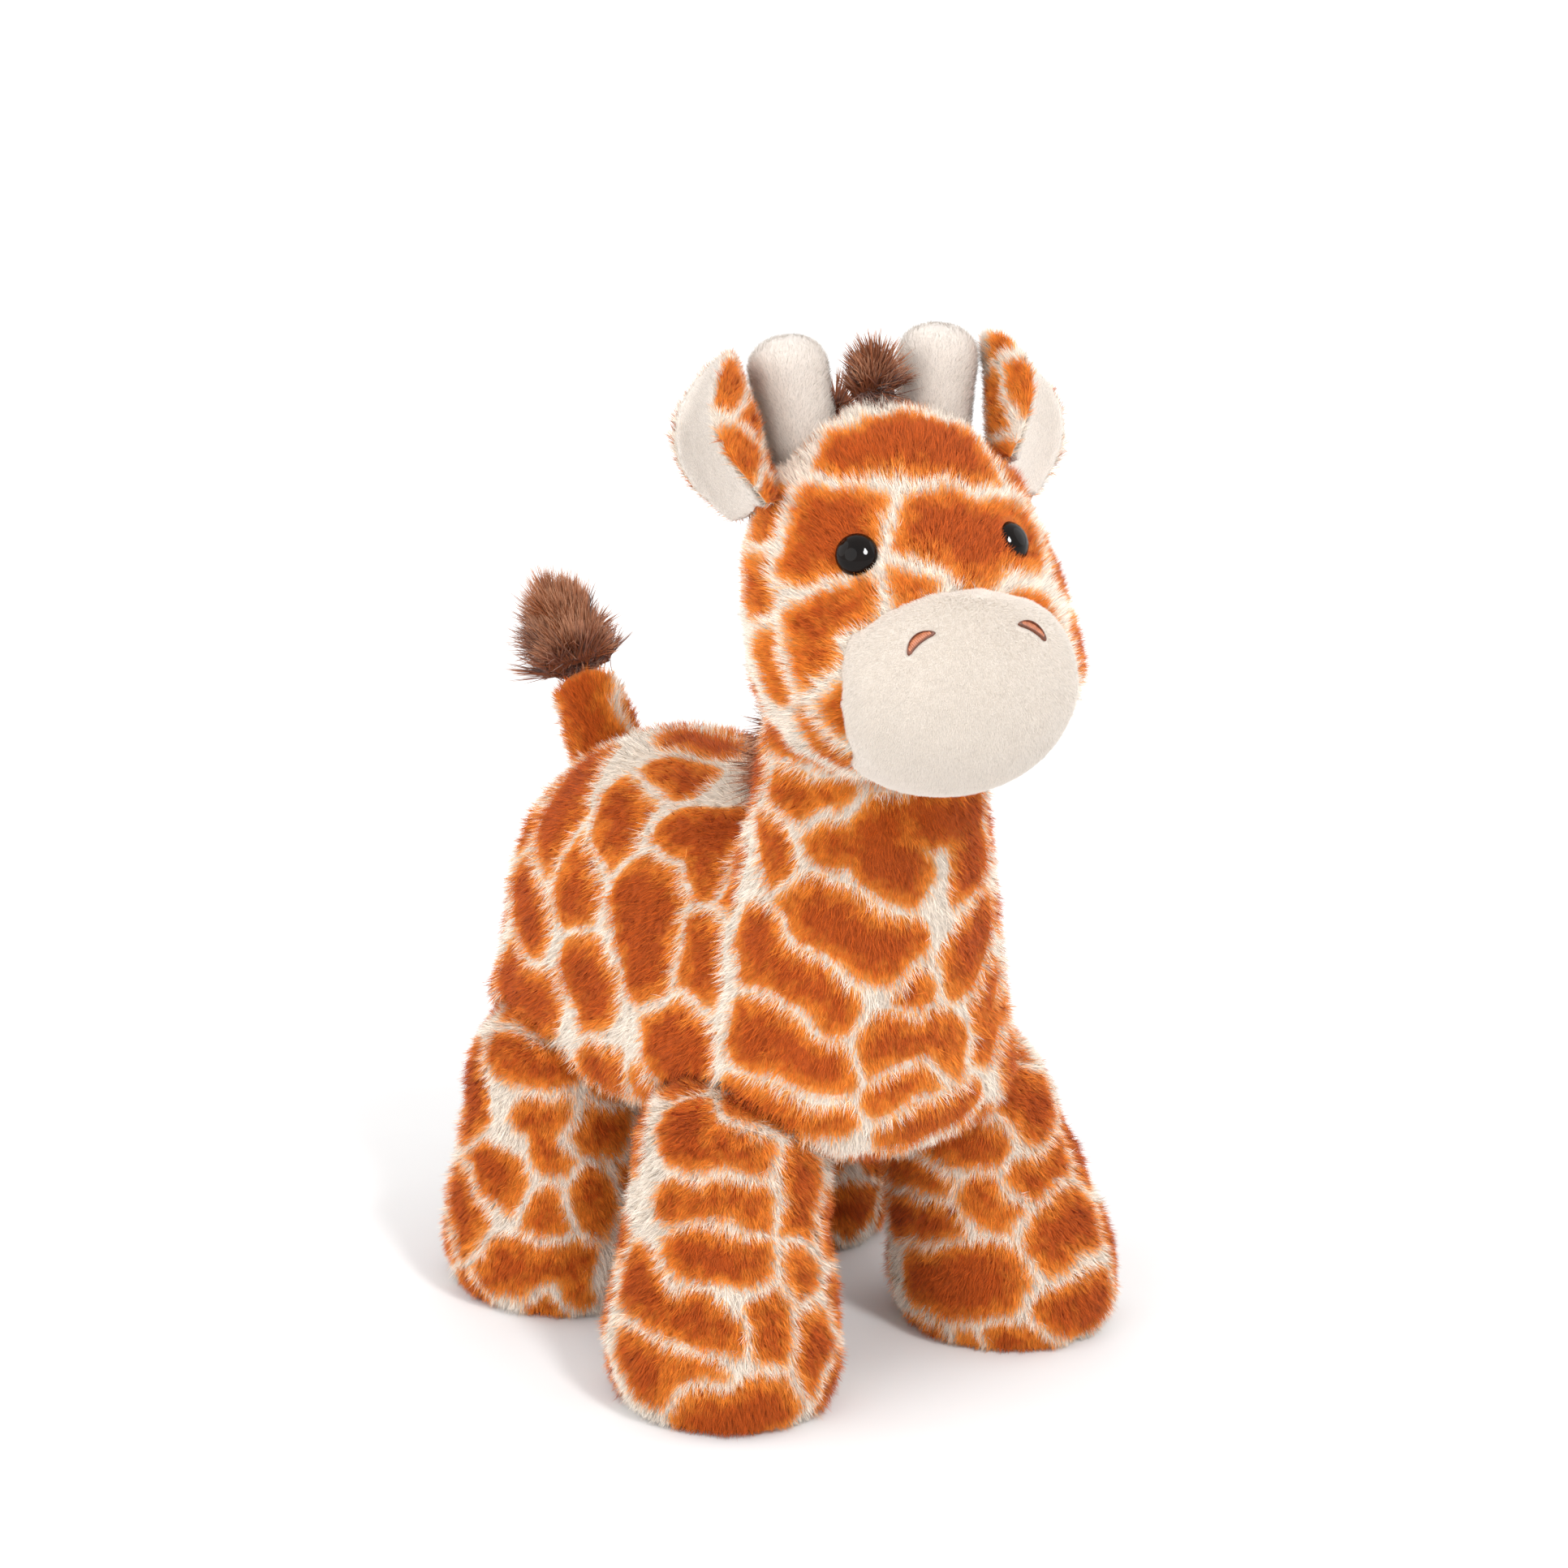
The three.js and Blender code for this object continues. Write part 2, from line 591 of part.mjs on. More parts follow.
const eyeSeats = [];
const eyePockets = [];
for (const [sideName, side] of Object.entries(SIDE_NAMES)) {
  const { place, normal } = surfaceAt(headForm, EYE_Z, rad(EYE_AZIMUTH * side - 90));
  const eye = new THREE.Group();
  eye.position.copy(place).addScaledVector(normal, -EYE_SEAT);
  eye.quaternion.setFromUnitVectors(Z_AXIS, normal);
  const inHead = matrixOf(eye);
  const pocketTop = -CLEAR - COVER;
  const washerTop = pocketTop - CLEAR;
  const hole = solidOf(bar(EYE_STEM_DIAMETER + 2 * CLEAR, -2 * EYE_STEM_LENGTH, EYE_DOME));
  const washer = solidOf(bar(WASHER_DIAMETER, washerTop - WASHER_THICKNESS, washerTop));
  eye.add(meshOf(`eye_${sideName}`, solidOf(eyeProfile()), GLOSS));
  eye.add(meshOf(`eye_washer_${sideName}`, washer.subtract(hole), WASHER));
  eyeSeats.push(solidOf(bar(EYE_DIAMETER + 2 * CLEAR, -CLEAR, EYE_DOME), inHead));
  eyeSeats.push(solidOf(bar(EYE_STEM_DIAMETER + 2 * CLEAR, -EYE_STEM_LENGTH - CLEAR, EYE_DOME), inHead));
  eyePockets.push(solidOf(bar(WASHER_DIAMETER + 2 * CLEAR, -EYE_STEM_LENGTH - CLEAR, pocketTop), inHead));
  head.add(eye);
}

// Horns: short blunt tubes with a rounded root in the crown.
const hornForm = {
  stations: [
    station(-HORN_DIAMETER / 2, HORN_DIAMETER, HORN_DIAMETER),
    station(0, HORN_DIAMETER, HORN_DIAMETER),
    station(HORN_LENGTH, HORN_TIP_DIAMETER, HORN_TIP_DIAMETER),
  ],
  lowDome: HORN_DIAMETER / 2,
  highDome: HORN_TIP_DIAMETER * BLUNT_END,
  sides: SMALL_SIDES,
  rings: SMALL_RINGS,
};
const hornPaths = [];
const hornRooms = [];
for (const [sideName, side] of Object.entries(SIDE_NAMES)) {
  const horn = new THREE.Group();
  horn.position.set(HORN_X * side, HORN_Y, HORN_Z);
  horn.rotation.set(-rad(HORN_BACK), rad(HORN_OUT) * side, 0);
  const mouth = solidOf(bar(HORN_DIAMETER / 2, -HORN_DIAMETER, 0));
  const shell = solidOf(stuffedForm(hornForm)).subtract(solidOf(hollowOf(hornForm)));
  horn.add(meshOf(`horn_${sideName}_cover`, shell.subtract(mouth), CREAM));
  horn.add(meshOf(`horn_${sideName}_stuffing`, solidOf(fillOf(hornForm)), FIBRE));
  hornPaths.push(swept(stuffedForm(hornForm, SWING_CLEAR), [-HORN_WAG, HORN_WAG], matrixOf(horn)));
  hornRooms.push(solidOf(stuffedForm(plainer(hornForm), STUFFING_ROOM), matrixOf(horn)));
  head.add(horn);
}

const headInside = solidOf(hollowOf(headForm));
head.add(meshOf(
  'head_cover',
  solidOf(stuffedForm(headForm)).subtract(headInside).subtract(neckPath).subtract(muzzleInside)
    .subtract(joined(hornPaths)).subtract(joined(eyeSeats)).subtract(joined(eyePockets)),
  PRINT,
));
head.add(meshOf(
  'head_stuffing',
  solidOf(fillOf(headForm)).subtract(neckHollow).subtract(joined(hornRooms)).subtract(joined(eyePockets)),
  FIBRE,
));

// Ears: a printed leaf with a cream lining inside its cup, rounded at the tip and drawn in at the base.
function earLeaf(near, far) {
  const cup = rad(EAR_CUP);
  const radius = EAR_WIDTH / 2 / Math.sin(cup);
  const edge = (s) => Math.sqrt(Math.max(0, 1 - (2 * Math.max(s, 0.5) - 1) ** 2))
    * (EAR_BASE_SHARE + (1 - EAR_BASE_SHARE) * Math.sin((Math.PI / 2) * Math.min(1, 2 * s)));
  const rings = Array.from({ length: EAR_RINGS + 1 }, (_, i) => {
    const share = (2 * i) / EAR_RINGS;
    const s = share < 1 ? share / 2 : (1 + Math.sin((Math.PI / 2) * (share - 1))) / 2;
    const span = cup * edge(s);
    const at = (angle, lift) => [
      (radius - lift) * Math.sin(angle),
      radius - (radius - lift) * Math.cos(angle),
      EAR_LENGTH * s,
    ];
    if (span < POLE_SIZE) return [at(0, (near + far) / 2)];
    const turns = Array.from({ length: EAR_COLUMNS + 1 }, (__, j) => span * ((2 * j) / EAR_COLUMNS - 1));
    return [...turns.map((angle) => at(angle, near)), ...turns.map((angle) => at(-angle, far))];
  });
  return skinOver(rings);
}

for (const [sideName, side] of Object.entries(SIDE_NAMES)) {
  const ear = new THREE.Group();
  const angle = side > 0 ? rad(EAR_AZIMUTH) : Math.PI - rad(EAR_AZIMUTH);
  const { place, normal } = surfaceAt(headForm, EAR_Z, angle);
  ear.position.copy(place).addScaledVector(normal, -EAR_SINK);
  const [back, out, facing] = [EAR_BACK, EAR_OUT, EAR_FACING].map((turn) => rad(turn[sideName]));
  ear.rotation.set(-back, out * side, -facing * side, 'XYZ');
  const intoEar = matrixOf(ear).invert();
  const headInEar = swept(headRoom, [-EAR_FLAP_IN, EAR_FLAP_OUT], new THREE.Matrix4(), intoEar);
  const outside = solidOf(earLeaf(-EAR_LAYER, 0)).subtract(headInEar);
  const lining = solidOf(earLeaf(CLEAR, CLEAR + EAR_LAYER)).subtract(headInEar);
  ear.add(meshOf(`ear_${sideName}_back`, outside, PRINT));
  ear.add(meshOf(`ear_${sideName}_lining`, lining, CREAM));
  head.add(ear);
}

// Long-pile trimmings: a forelock between the horns and a mane down the back of the head and the neck.
const forelockForm = {
  stations: [
    station(HEAD_TOP - FORELOCK_HEIGHT, FORELOCK_WIDTH, FORELOCK_DEPTH, 0, -FORELOCK_FORWARD),
    station(HEAD_TOP, FORELOCK_WIDTH, FORELOCK_DEPTH, 0, -FORELOCK_FORWARD),
    station(HEAD_TOP + FORELOCK_HEIGHT, FORELOCK_WIDTH, FORELOCK_DEPTH, 0, -FORELOCK_FORWARD),
  ],
  lowDome: 0,
  highDome: FORELOCK_HEIGHT,
  sides: SMALL_SIDES,
  rings: 1,
};
head.add(meshOf('forelock', solidOf(stuffedForm(forelockForm)).subtract(solidOf(headRoom)), BROWN));

// A ridge that follows the back of a form between two heights.
function maneForm(form, low, high) {
  return {
    stations: Array.from({ length: MANE_RINGS + 1 }, (_, i) => {
      const z = low + ((high - low) * i) / MANE_RINGS;
      const s = sectionAt(form.stations, z);
      return station(z, MANE_WIDTH, 2 * MANE_PROUD, 0, s.y + s.hy);
    }),
    lowDome: MANE_PROUD,
    highDome: MANE_PROUD,
    sides: SMALL_SIDES,
    rings: MANE_RINGS,
  };
}
const headMane = maneForm(headForm, HEAD_MANE_LOW, HEAD_MANE_HIGH);
head.add(meshOf('head_mane', solidOf(stuffedForm(headMane)).subtract(solidOf(headRoom)), BROWN));
giraffe.add(head);

const headPath = swept(headRoom, [-HEAD_NOD, HEAD_NOD], matrixOf(head));
const torsoRoom = solidOf(laid(stuffedForm(torsoForm, CLEAR)));
const neckMane = maneForm(neckForm, NECK_MANE_LOW, NECK_MANE_HIGH);
giraffe.add(meshOf(
  'neck_mane',
  solidOf(stuffedForm(neckMane)).subtract(neckRoom).subtract(headPath).subtract(torsoRoom),
  BROWN,
));

// The origin lies under the middle of the finished toy.
const middle = new THREE.Box3().setFromObject(giraffe).getCenter(new THREE.Vector3());
giraffe.position.set(-middle.x, -middle.y, 0);

export default giraffe;
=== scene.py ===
"""Looks of the plush giraffe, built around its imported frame."""

import json
import logging
import math
from dataclasses import dataclass, field, replace
from enum import Enum
from functools import cached_property
from typing import Callable

import bmesh
import bpy
import numpy as np
from bmesh.types import BMesh
from bpy.types import ID, Light, Material, Mesh, Node, NodeSocket, NodeTree, Object
from mathutils import Matrix, Vector
from mathutils.bvhtree import BVHTree

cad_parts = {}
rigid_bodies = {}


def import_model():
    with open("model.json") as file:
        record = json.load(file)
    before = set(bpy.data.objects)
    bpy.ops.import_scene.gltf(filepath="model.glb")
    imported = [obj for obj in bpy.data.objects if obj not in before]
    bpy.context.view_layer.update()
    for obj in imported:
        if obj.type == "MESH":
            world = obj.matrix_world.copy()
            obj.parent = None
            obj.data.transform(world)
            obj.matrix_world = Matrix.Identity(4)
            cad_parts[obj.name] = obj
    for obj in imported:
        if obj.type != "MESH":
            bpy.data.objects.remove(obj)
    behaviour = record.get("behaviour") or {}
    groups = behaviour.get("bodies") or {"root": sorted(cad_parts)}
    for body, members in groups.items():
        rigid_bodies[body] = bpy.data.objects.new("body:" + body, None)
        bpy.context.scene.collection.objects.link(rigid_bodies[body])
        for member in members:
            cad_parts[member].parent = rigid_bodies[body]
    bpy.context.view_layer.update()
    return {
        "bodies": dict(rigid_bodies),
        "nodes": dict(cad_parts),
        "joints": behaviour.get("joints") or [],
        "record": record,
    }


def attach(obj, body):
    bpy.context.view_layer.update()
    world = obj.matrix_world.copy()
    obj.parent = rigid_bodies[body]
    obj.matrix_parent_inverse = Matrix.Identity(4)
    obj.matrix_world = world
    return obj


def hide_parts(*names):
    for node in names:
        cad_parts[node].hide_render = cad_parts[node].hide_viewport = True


log = logging.getLogger("giraffe")

# Lengths are in metres where nothing else is said, and pixels are those of the photograph.
MM = 0.001
PER_SQUARE_MM = 1e6
IMAGE = 1932
SIDES = ("right", "left")

# The least divisor, and the distance at which two points become one.
TINY = 1e-9
WELD = 1e-6

# Room that strands keep from the eyes and nostrils, how far they look for neighbours, and the floor's gap.
HARD_MARGIN = 0.0003
PILE_REACH = 0.006
FLOOR_GAP = 0.0002

# Steps that the cloth is puffed for.
CLOTH_STEPS = 12

# Places tried on each skin for what the photograph hides, and how far over it their sight lines start.
HIDDEN_PICKS = 1500
SIGHT_LIFT = 0.002

# How much deeper than its solid the eye away from the camera sits in the fur.
FAR_EYE_DEPTH = 0.0023

# Numbers that pick the strands of the first leg, horn and ear.
LEG_SEED, HORN_SEED, EAR_SEED = 111, 141, 151

Array = np.ndarray
Flow = Callable[[Array, Array], Array]
Span = tuple[float, float]
Triple = tuple[float, float, float]


def srgb(code: str) -> tuple[float, float, float, float]:
    """Gives a colour in linear light.

    Args:
        code: The colour as six hex digits.

    Returns:
        Red, green, blue and a full alpha.
    """
    parts = [int(code[i : i + 2], 16) / 255 for i in (0, 2, 4)]
    linear = [c / 12.92 if c <= 0.04045 else ((c + 0.055) / 1.055) ** 2.4 for c in parts]
    return (*linear, 1.0)


def unit(rows: Array) -> Array:
    """Scales each row of an array to length one."""
    return rows / np.maximum(np.linalg.norm(rows, axis=-1, keepdims=True), TINY)


def ripple(points: Array, wavelength: float, seed: int, waves: int = 7) -> Array:
    """Gives a smooth seeded noise of about unit size at each point.

    Args:
        points: Places, one a row, in the unit of the wavelength.
        wavelength: Length of the mean wave.
        seed: Number that picks the noise.
        waves: How many waves are summed.

    Returns:
        One value per point.
    """
    shortest, longest = 0.7, 1.5
    rng = np.random.default_rng(seed)
    turns = unit(rng.normal(size=(waves, 3))) * (math.tau / wavelength)
    turns *= rng.uniform(shortest, longest, (waves, 1))
    phases = rng.uniform(0, math.tau, waves)
    return np.sin(points @ turns.T + phases).sum(1) * math.sqrt(2 / waves)


def ripples(points: Array, wavelength: float, seed: int) -> Array:
    """Gives three independent ripples at each point, as a vector."""
    return np.stack([ripple(points, wavelength, seed + i) for i in range(3)], 1)


Dab = tuple[float, float, float, float, float]
Stroke = tuple[float, float, float, float, float, float, float]
Blotch = tuple[Stroke, ...]

# Patches of the print, read off the photograph: strokes from one pixel to another with a radius.
MARKS: dict[str, tuple[Dab, ...]] = {
    "rump top": ((720, 950, 685, 1030, 28),),
    "back rear": ((775, 990, 755, 1030, 28),),
    "back front": ((815, 955, 850, 960, 20),),
    "spine": ((850, 910, 890, 925, 18),),
    "withers": ((840, 1030, 900, 1025, 25), (870, 1060, 880, 1080, 22)),
    "loin": ((716, 1065, 712, 1105, 28),),
    "rump side": ((648, 1085, 658, 1145, 24),),
    "rump edge": ((658, 1005, 650, 1035, 12),),
    "flank": ((795, 1110, 805, 1175, 42), (800, 1110, 825, 1125, 25)),
    "haunch": ((630, 1200, 665, 1240, 28),),
    "belly": ((720, 1185, 738, 1225, 27),),
    "shoulder": ((865, 1145, 865, 1210, 24), (845, 1190, 845, 1190, 22)),
    "elbow": ((835, 1287, 840, 1287, 46),),
    "cheek to neck": ((955, 890, 1020, 940, 16),),
    "throat": ((970, 970, 1030, 978, 22),),
    "neck front": ((1030, 1030, 1100, 1010, 25), (1090, 1050, 1110, 1080, 30),
                   (1150, 1000, 1195, 1000, 30), (1195, 1050, 1195, 1075, 22)),
    "neck side": ((950, 1025, 962, 1062, 14),),
    "neck fold": ((915, 1050, 900, 1100, 13),),
    "chest high": ((1000, 1120, 1100, 1165, 33), (1070, 1180, 1070, 1180, 22)),
    "chest far": ((1205, 1130, 1180, 1190, 26),),
    "chest near": ((935, 1150, 945, 1195, 27), (950, 1180, 1025, 1240, 28)),
    "chest middle": ((1128, 1215, 1143, 1215, 18),),
    "breast": ((940, 1255, 1015, 1320, 35), (935, 1280, 935, 1280, 32)),
    "breast far": ((1080, 1283, 1150, 1270, 24), (1165, 1290, 1165, 1305, 18)),
    "breast low": ((1085, 1350, 1150, 1325, 17),),
    "breast edge": ((1220, 1205, 1208, 1245, 12), (1235, 1235, 1210, 1290, 10)),
    "hem near": ((915, 1352, 1000, 1375, 24), (1000, 1375, 1035, 1375, 18)),
    "hem middle": ((1020, 1420, 1090, 1405, 14),),
    "hem far": ((1110, 1390, 1190, 1350, 16),),
    "front knee": ((850, 1380, 855, 1410, 28), (890, 1405, 940, 1415, 18)),
    "front thigh edge": ((785, 1330, 790, 1410, 14),),
    "front shin high": ((835, 1470, 930, 1480, 20), (935, 1500, 935, 1500, 18)),
    "front shin inside": ((985, 1430, 985, 1500, 24),),
    "front shin edge": ((768, 1445, 770, 1500, 14),),
    "front shin": ((850, 1535, 925, 1545, 27),),
    "front shin low": ((980, 1550, 985, 1578, 18),),
    "front instep": ((790, 1575, 800, 1600, 30), (820, 1605, 880, 1640, 25)),
    "front foot middle": ((950, 1605, 955, 1655, 19),),
    "front foot inside": ((1000, 1635, 998, 1670, 24),),
    "front foot outside": ((785, 1655, 805, 1690, 25), (830, 1675, 875, 1677, 13)),
    "front toe": ((870, 1745, 945, 1730, 32),),
    "hind hip": ((632, 1287, 680, 1315, 24),),
    "hind groin": ((735, 1315, 760, 1320, 18),),
    "hind thigh edge": ((585, 1320, 585, 1365, 20),),
    "hind thigh": ((655, 1370, 690, 1370, 18), (678, 1400, 678, 1425, 17)),
    "hind thigh inside": ((730, 1385, 755, 1388, 25),),
    "hind shin": ((595, 1430, 632, 1455, 20),),
    "hind shin edge": ((568, 1470, 578, 1505, 22),),
    "hind shin middle": ((672, 1480, 672, 1505, 18),),
    "hind shin inside": ((735, 1465, 745, 1485, 26),),
    "hind foot": ((605, 1552, 680, 1552, 22), (705, 1545, 705, 1590, 15)),
    "hind toe": ((585, 1603, 675, 1607, 16),),
    "far thigh": ((1240, 1295, 1250, 1340, 24), (1275, 1350, 1275, 1375, 22)),
    "far knee": ((1165, 1408, 1215, 1408, 20),),
    "far knee inside": ((1105, 1433, 1155, 1447, 13),),
    "far knee outside": ((1265, 1450, 1302, 1420, 20),),
    "far shin": ((1215, 1468, 1245, 1495, 17),),
    "far shin outside": ((1290, 1510, 1325, 1495, 30), (1300, 1540, 1300, 1540, 18)),
    "far shin inside": ((1110, 1490, 1150, 1497, 24),),
    "far foot": ((1145, 1570, 1220, 1570, 38),),
    "far foot outside": ((1310, 1615, 1345, 1600, 28),),
    "far toe": ((1240, 1645, 1290, 1650, 14),),
    "far toe inside": ((1120, 1625, 1185, 1647, 11),),
    "far hind shin": ((1025, 1490, 1065, 1480, 20),),
    "forehead": ((1050, 565, 1195, 572, 32), (1110, 540, 1150, 545, 32)),
    "near eye": ((1010, 650, 1050, 650, 38), (1000, 700, 1030, 690, 32)),
    "bridge": ((1145, 660, 1250, 670, 38), (1200, 690, 1250, 695, 25)),
    "far brow": ((1265, 622, 1285, 638, 14),),
    "near cheek": ((1000, 770, 1060, 738, 26), (995, 810, 1005, 820, 24)),
    "nose": ((1100, 732, 1132, 722, 14),),
    "temple high": ((950, 620, 938, 665, 14),),
    "temple": ((932, 700, 945, 755, 14),),
    "jaw": ((950, 790, 965, 840, 14),),
    "chin": ((1010, 895, 1045, 935, 10),),
    "crown": ((985, 555, 1015, 532, 12),),
    "far temple": ((1278, 580, 1288, 605, 10),),
    "far cheek": ((1325, 760, 1330, 805, 20), (1315, 700, 1315, 700, 10)),
    "near ear tip": ((885, 470, 900, 478, 20),),
    "near ear root": ((955, 530, 950, 560, 24),),
    "far ear": ((1228, 490, 1232, 515, 12),),
    "far ear tip": ((1232, 412, 1218, 432, 2),),
    "tail": ((720, 860, 725, 905, 34),),
}


@dataclass
class PatchPrint:
    """The giraffe print: blotches of one or more rounded strokes, in millimetres.

    A stroke is two end points and a radius. Where two blotches come close, a cream line of the gap's
    width is left between them, and along a hem the ground stays cream.
    """

    margin: float = 2.9
    gap: float = 1.7
    wander: float = 0.55
    wander_wave: float = 14
    fray: float = 0.08
    fray_wave: float = 3.5
    wave_seeds: tuple[int, int] = (11, 23)
    far: float = 1e3
    ground: float = -9.0
    sizes: Span = (0.75, 1.25)
    stretch: Span = (0.2, 0.6)
    plump: float = 0.9
    spacing: float = 0.6
    hem_width: float = 1.6
    hem_slope: float = 5.0
    hem: BVHTree | None = None
    blotches: list[Blotch] = field(default_factory=list)

    def distances(self, points: Array) -> Array:
        """Gives each point's distance to the edge of each blotch, negative inside.

        Args:
            points: Places in millimetres, one a row.

        Returns:
            One row per blotch and one column per point.
        """
        rows = np.empty((len(self.blotches), len(points)))
        for row, strokes in zip(rows, self.blotches):
            row[:] = self.far
            for stroke in strokes:
                start, end = np.array(stroke[0:3]), np.array(stroke[3:6])
                along = end - start
                share = (points - start) @ along / max(float(along @ along), TINY)
                near = start + np.clip(share, 0, 1)[:, None] * along
                np.minimum(row, np.linalg.norm(points - near, axis=1) - stroke[6], out=row)
        return rows

    def depth(self, points: Array) -> Array:
        """Gives how far each point lies inside the print's orange, in millimetres.

        Args:
            points: Places in metres, one a row.

        Returns:
            One depth per point, negative on the cream ground.
        """
        if not self.blotches:
            return np.full(len(points), self.ground)
        places = points / MM
        broad = self.wander * ripples(places, self.wander_wave, self.wave_seeds[0])
        places = places + broad + self.fray * ripples(places, self.fray_wave, self.wave_seeds[1])
        rows = self.distances(places)
        first = rows.min(0)
        depth = self.margin - first
        if len(rows) > 1:
            second = np.partition(rows, 1, axis=0)[1]
            depth = np.minimum(depth, (second - first - self.gap) / 2)
        if self.hem:
            gaps = np.array([self.hem.find_nearest(Vector(point))[3] for point in points])
            depth = np.minimum(depth, (gaps / MM - self.hem_width) * self.hem_slope)
        return np.maximum(depth, self.ground)

    def scatter(self, points: Array, seed: int, radius: float) -> None:
        """Adds blotches on places that have none, such as the far side.

        Args:
            points: Places where a blotch may start, in metres.
            seed: Number that picks the blotches.
            radius: Mean radius of a blotch in millimetres.
        """
        rng = np.random.default_rng(seed)
        places = points[rng.permutation(len(points))] / MM
        free = self.distances(places).min(0, initial=self.far)
        for index, place in enumerate(places):
            size = radius * rng.uniform(*self.sizes)
            if free[index] < size + self.spacing * self.gap:
                continue
            turn = unit(rng.normal(size=3)) * size * rng.uniform(*self.stretch)
            low, high = place - turn, place + turn
            self.blotches.append(((*low, *high, size * self.plump),))
            np.minimum(free, PatchPrint(blotches=self.blotches[-1:]).distances(places)[0], out=free)


def evaluated(obj: Object) -> Mesh:
    """Applies an object's modifiers to a copy of its mesh.

    Args:
        obj: The object, which stays as it is.

    Returns:
        The new mesh.
    """
    bpy.context.view_layer.update()
    graph = bpy.context.evaluated_depsgraph_get()
    return bpy.data.meshes.new_from_object(obj.evaluated_get(graph))


def settle(obj: Object) -> None:
    """Applies an object's modifiers to its mesh.

    Args:
        obj: The object.
    """
    fresh, worn = evaluated(obj), obj.data
    obj.modifiers.clear()
    obj.data = fresh
    bpy.data.meshes.remove(worn)


def baked(bm: BMesh, name: str) -> Mesh:
    """Turns an edited mesh into a plain one and frees it.

    Args:
        bm: The edited mesh.
        name: Name of the plain mesh.

    Returns:
        The plain mesh.
    """
    mesh = bpy.data.meshes.new(name)
    bm.to_mesh(mesh)
    bm.free()
    return mesh


def add_object(name: str, data: ID) -> Object:
    """Puts a mesh, a light or a camera in the scene.

    Args:
        name: Name of the object.
        data: What it holds.

    Returns:
        The object, at the origin.
    """
    obj = bpy.data.objects.new(name, data)
    bpy.context.scene.collection.objects.link(obj)
    return obj


def turn_round(bm: BMesh, geom: list, axis: Triple, steps: int) -> None:
    """Turns a profile once round an axis through the origin.

    Args:
        bm: Mesh that holds the profile.
        geom: The profile's points and edges.
        axis: Direction of the axis.
        steps: How many steps the turn has.
    """
    bmesh.ops.spin(bm, geom=geom, cent=(0, 0, 0), axis=axis, angle=math.tau, steps=steps, use_merge=True)


def attribute(mesh: Mesh, name: str, values: Array) -> None:
    """Stores a number or a vector per point on a mesh.

    Args:
        mesh: Mesh that gets the values.
        name: Name that materials read.
        values: One value per point.
    """
    kind, key = ("FLOAT", "value") if np.ndim(values) == 1 else ("FLOAT_VECTOR", "vector")
    layer = mesh.attributes.get(name) or mesh.attributes.new(name, kind, "POINT")
    layer.data.foreach_set(key, np.ascontiguousarray(values, np.float32).ravel())


@dataclass
class Surface:
    """A skin's points, normals, triangles and the free room over each point."""

    points: Array
    normals: Array
    triangles: Array
    room: Array

    @classmethod
    def of(cls, mesh: Mesh) -> "Surface":
        """Reads a mesh's surface.

        Args:
            mesh: The mesh.

        Returns:
            The surface, with all the room there is.
        """
        mesh.calc_loop_triangles()
        rows = []
        for items, key, kind in (
            (mesh.vertices, "co", np.float32),
            (mesh.vertex_normals, "vector", np.float32),
            (mesh.loop_triangles, "vertices", np.int32),
        ):
            values = np.empty(len(items) * 3, kind)
            items.foreach_get(key, values)
            rows.append(values.reshape(-1, 3))
        return cls(rows[0].astype(float), rows[1].astype(float), rows[2], np.ones(len(rows[0])))

    @cached_property
    def tree(self) -> BVHTree:
        """Gives the surface's search tree."""
        return BVHTree.FromPolygons(self.points.tolist(), self.triangles.tolist())

    def clear_of(self, other: "Surface", sewn: bool, margin: float) -> None:
        """Lowers the room over each point to the distance to another surface.

        Args:
            other: The other surface.
            sewn: Whether the two never move against each other, so their piles may mingle.
            margin: Distance that is kept free of roots.
        """
        low, high = other.points.min(0) - PILE_REACH, other.points.max(0) + PILE_REACH
        near = np.flatnonzero(np.all((self.points > low) & (self.points < high), axis=1))
        for index in near:
            place = Vector(self.points[index])
            spot, normal, _, gap = other.tree.find_nearest(place, PILE_REACH)
            if spot is None:
                continue
            if (place - spot).dot(normal) < 0:
                gap = 0.0
            elif sewn and gap > margin:
                continue
            self.room[index] = min(self.room[index], gap - margin)


@dataclass
class Posture:
    """Where a solid of the frame sits: its middle, its axes from long to short and its half sizes."""

    middle: Array
    axes: Array
    half: Array

    @classmethod
    def of(cls, node: Object) -> "Posture":
        """Reads a solid's posture off its points.

        Args:
            node: The solid.

        Returns:
            The posture.
        """
        places = Surface.of(node.data).points
        mean = places.mean(0)
        axes = np.linalg.svd(places - mean, full_matrices=False)[2]
        shares = (places - mean) @ axes.T
        low, high = shares.min(0), shares.max(0)
        order = np.argsort(low - high)
        return cls(mean + (low + high) / 2 @ axes, axes[order], ((high - low) / 2)[order])


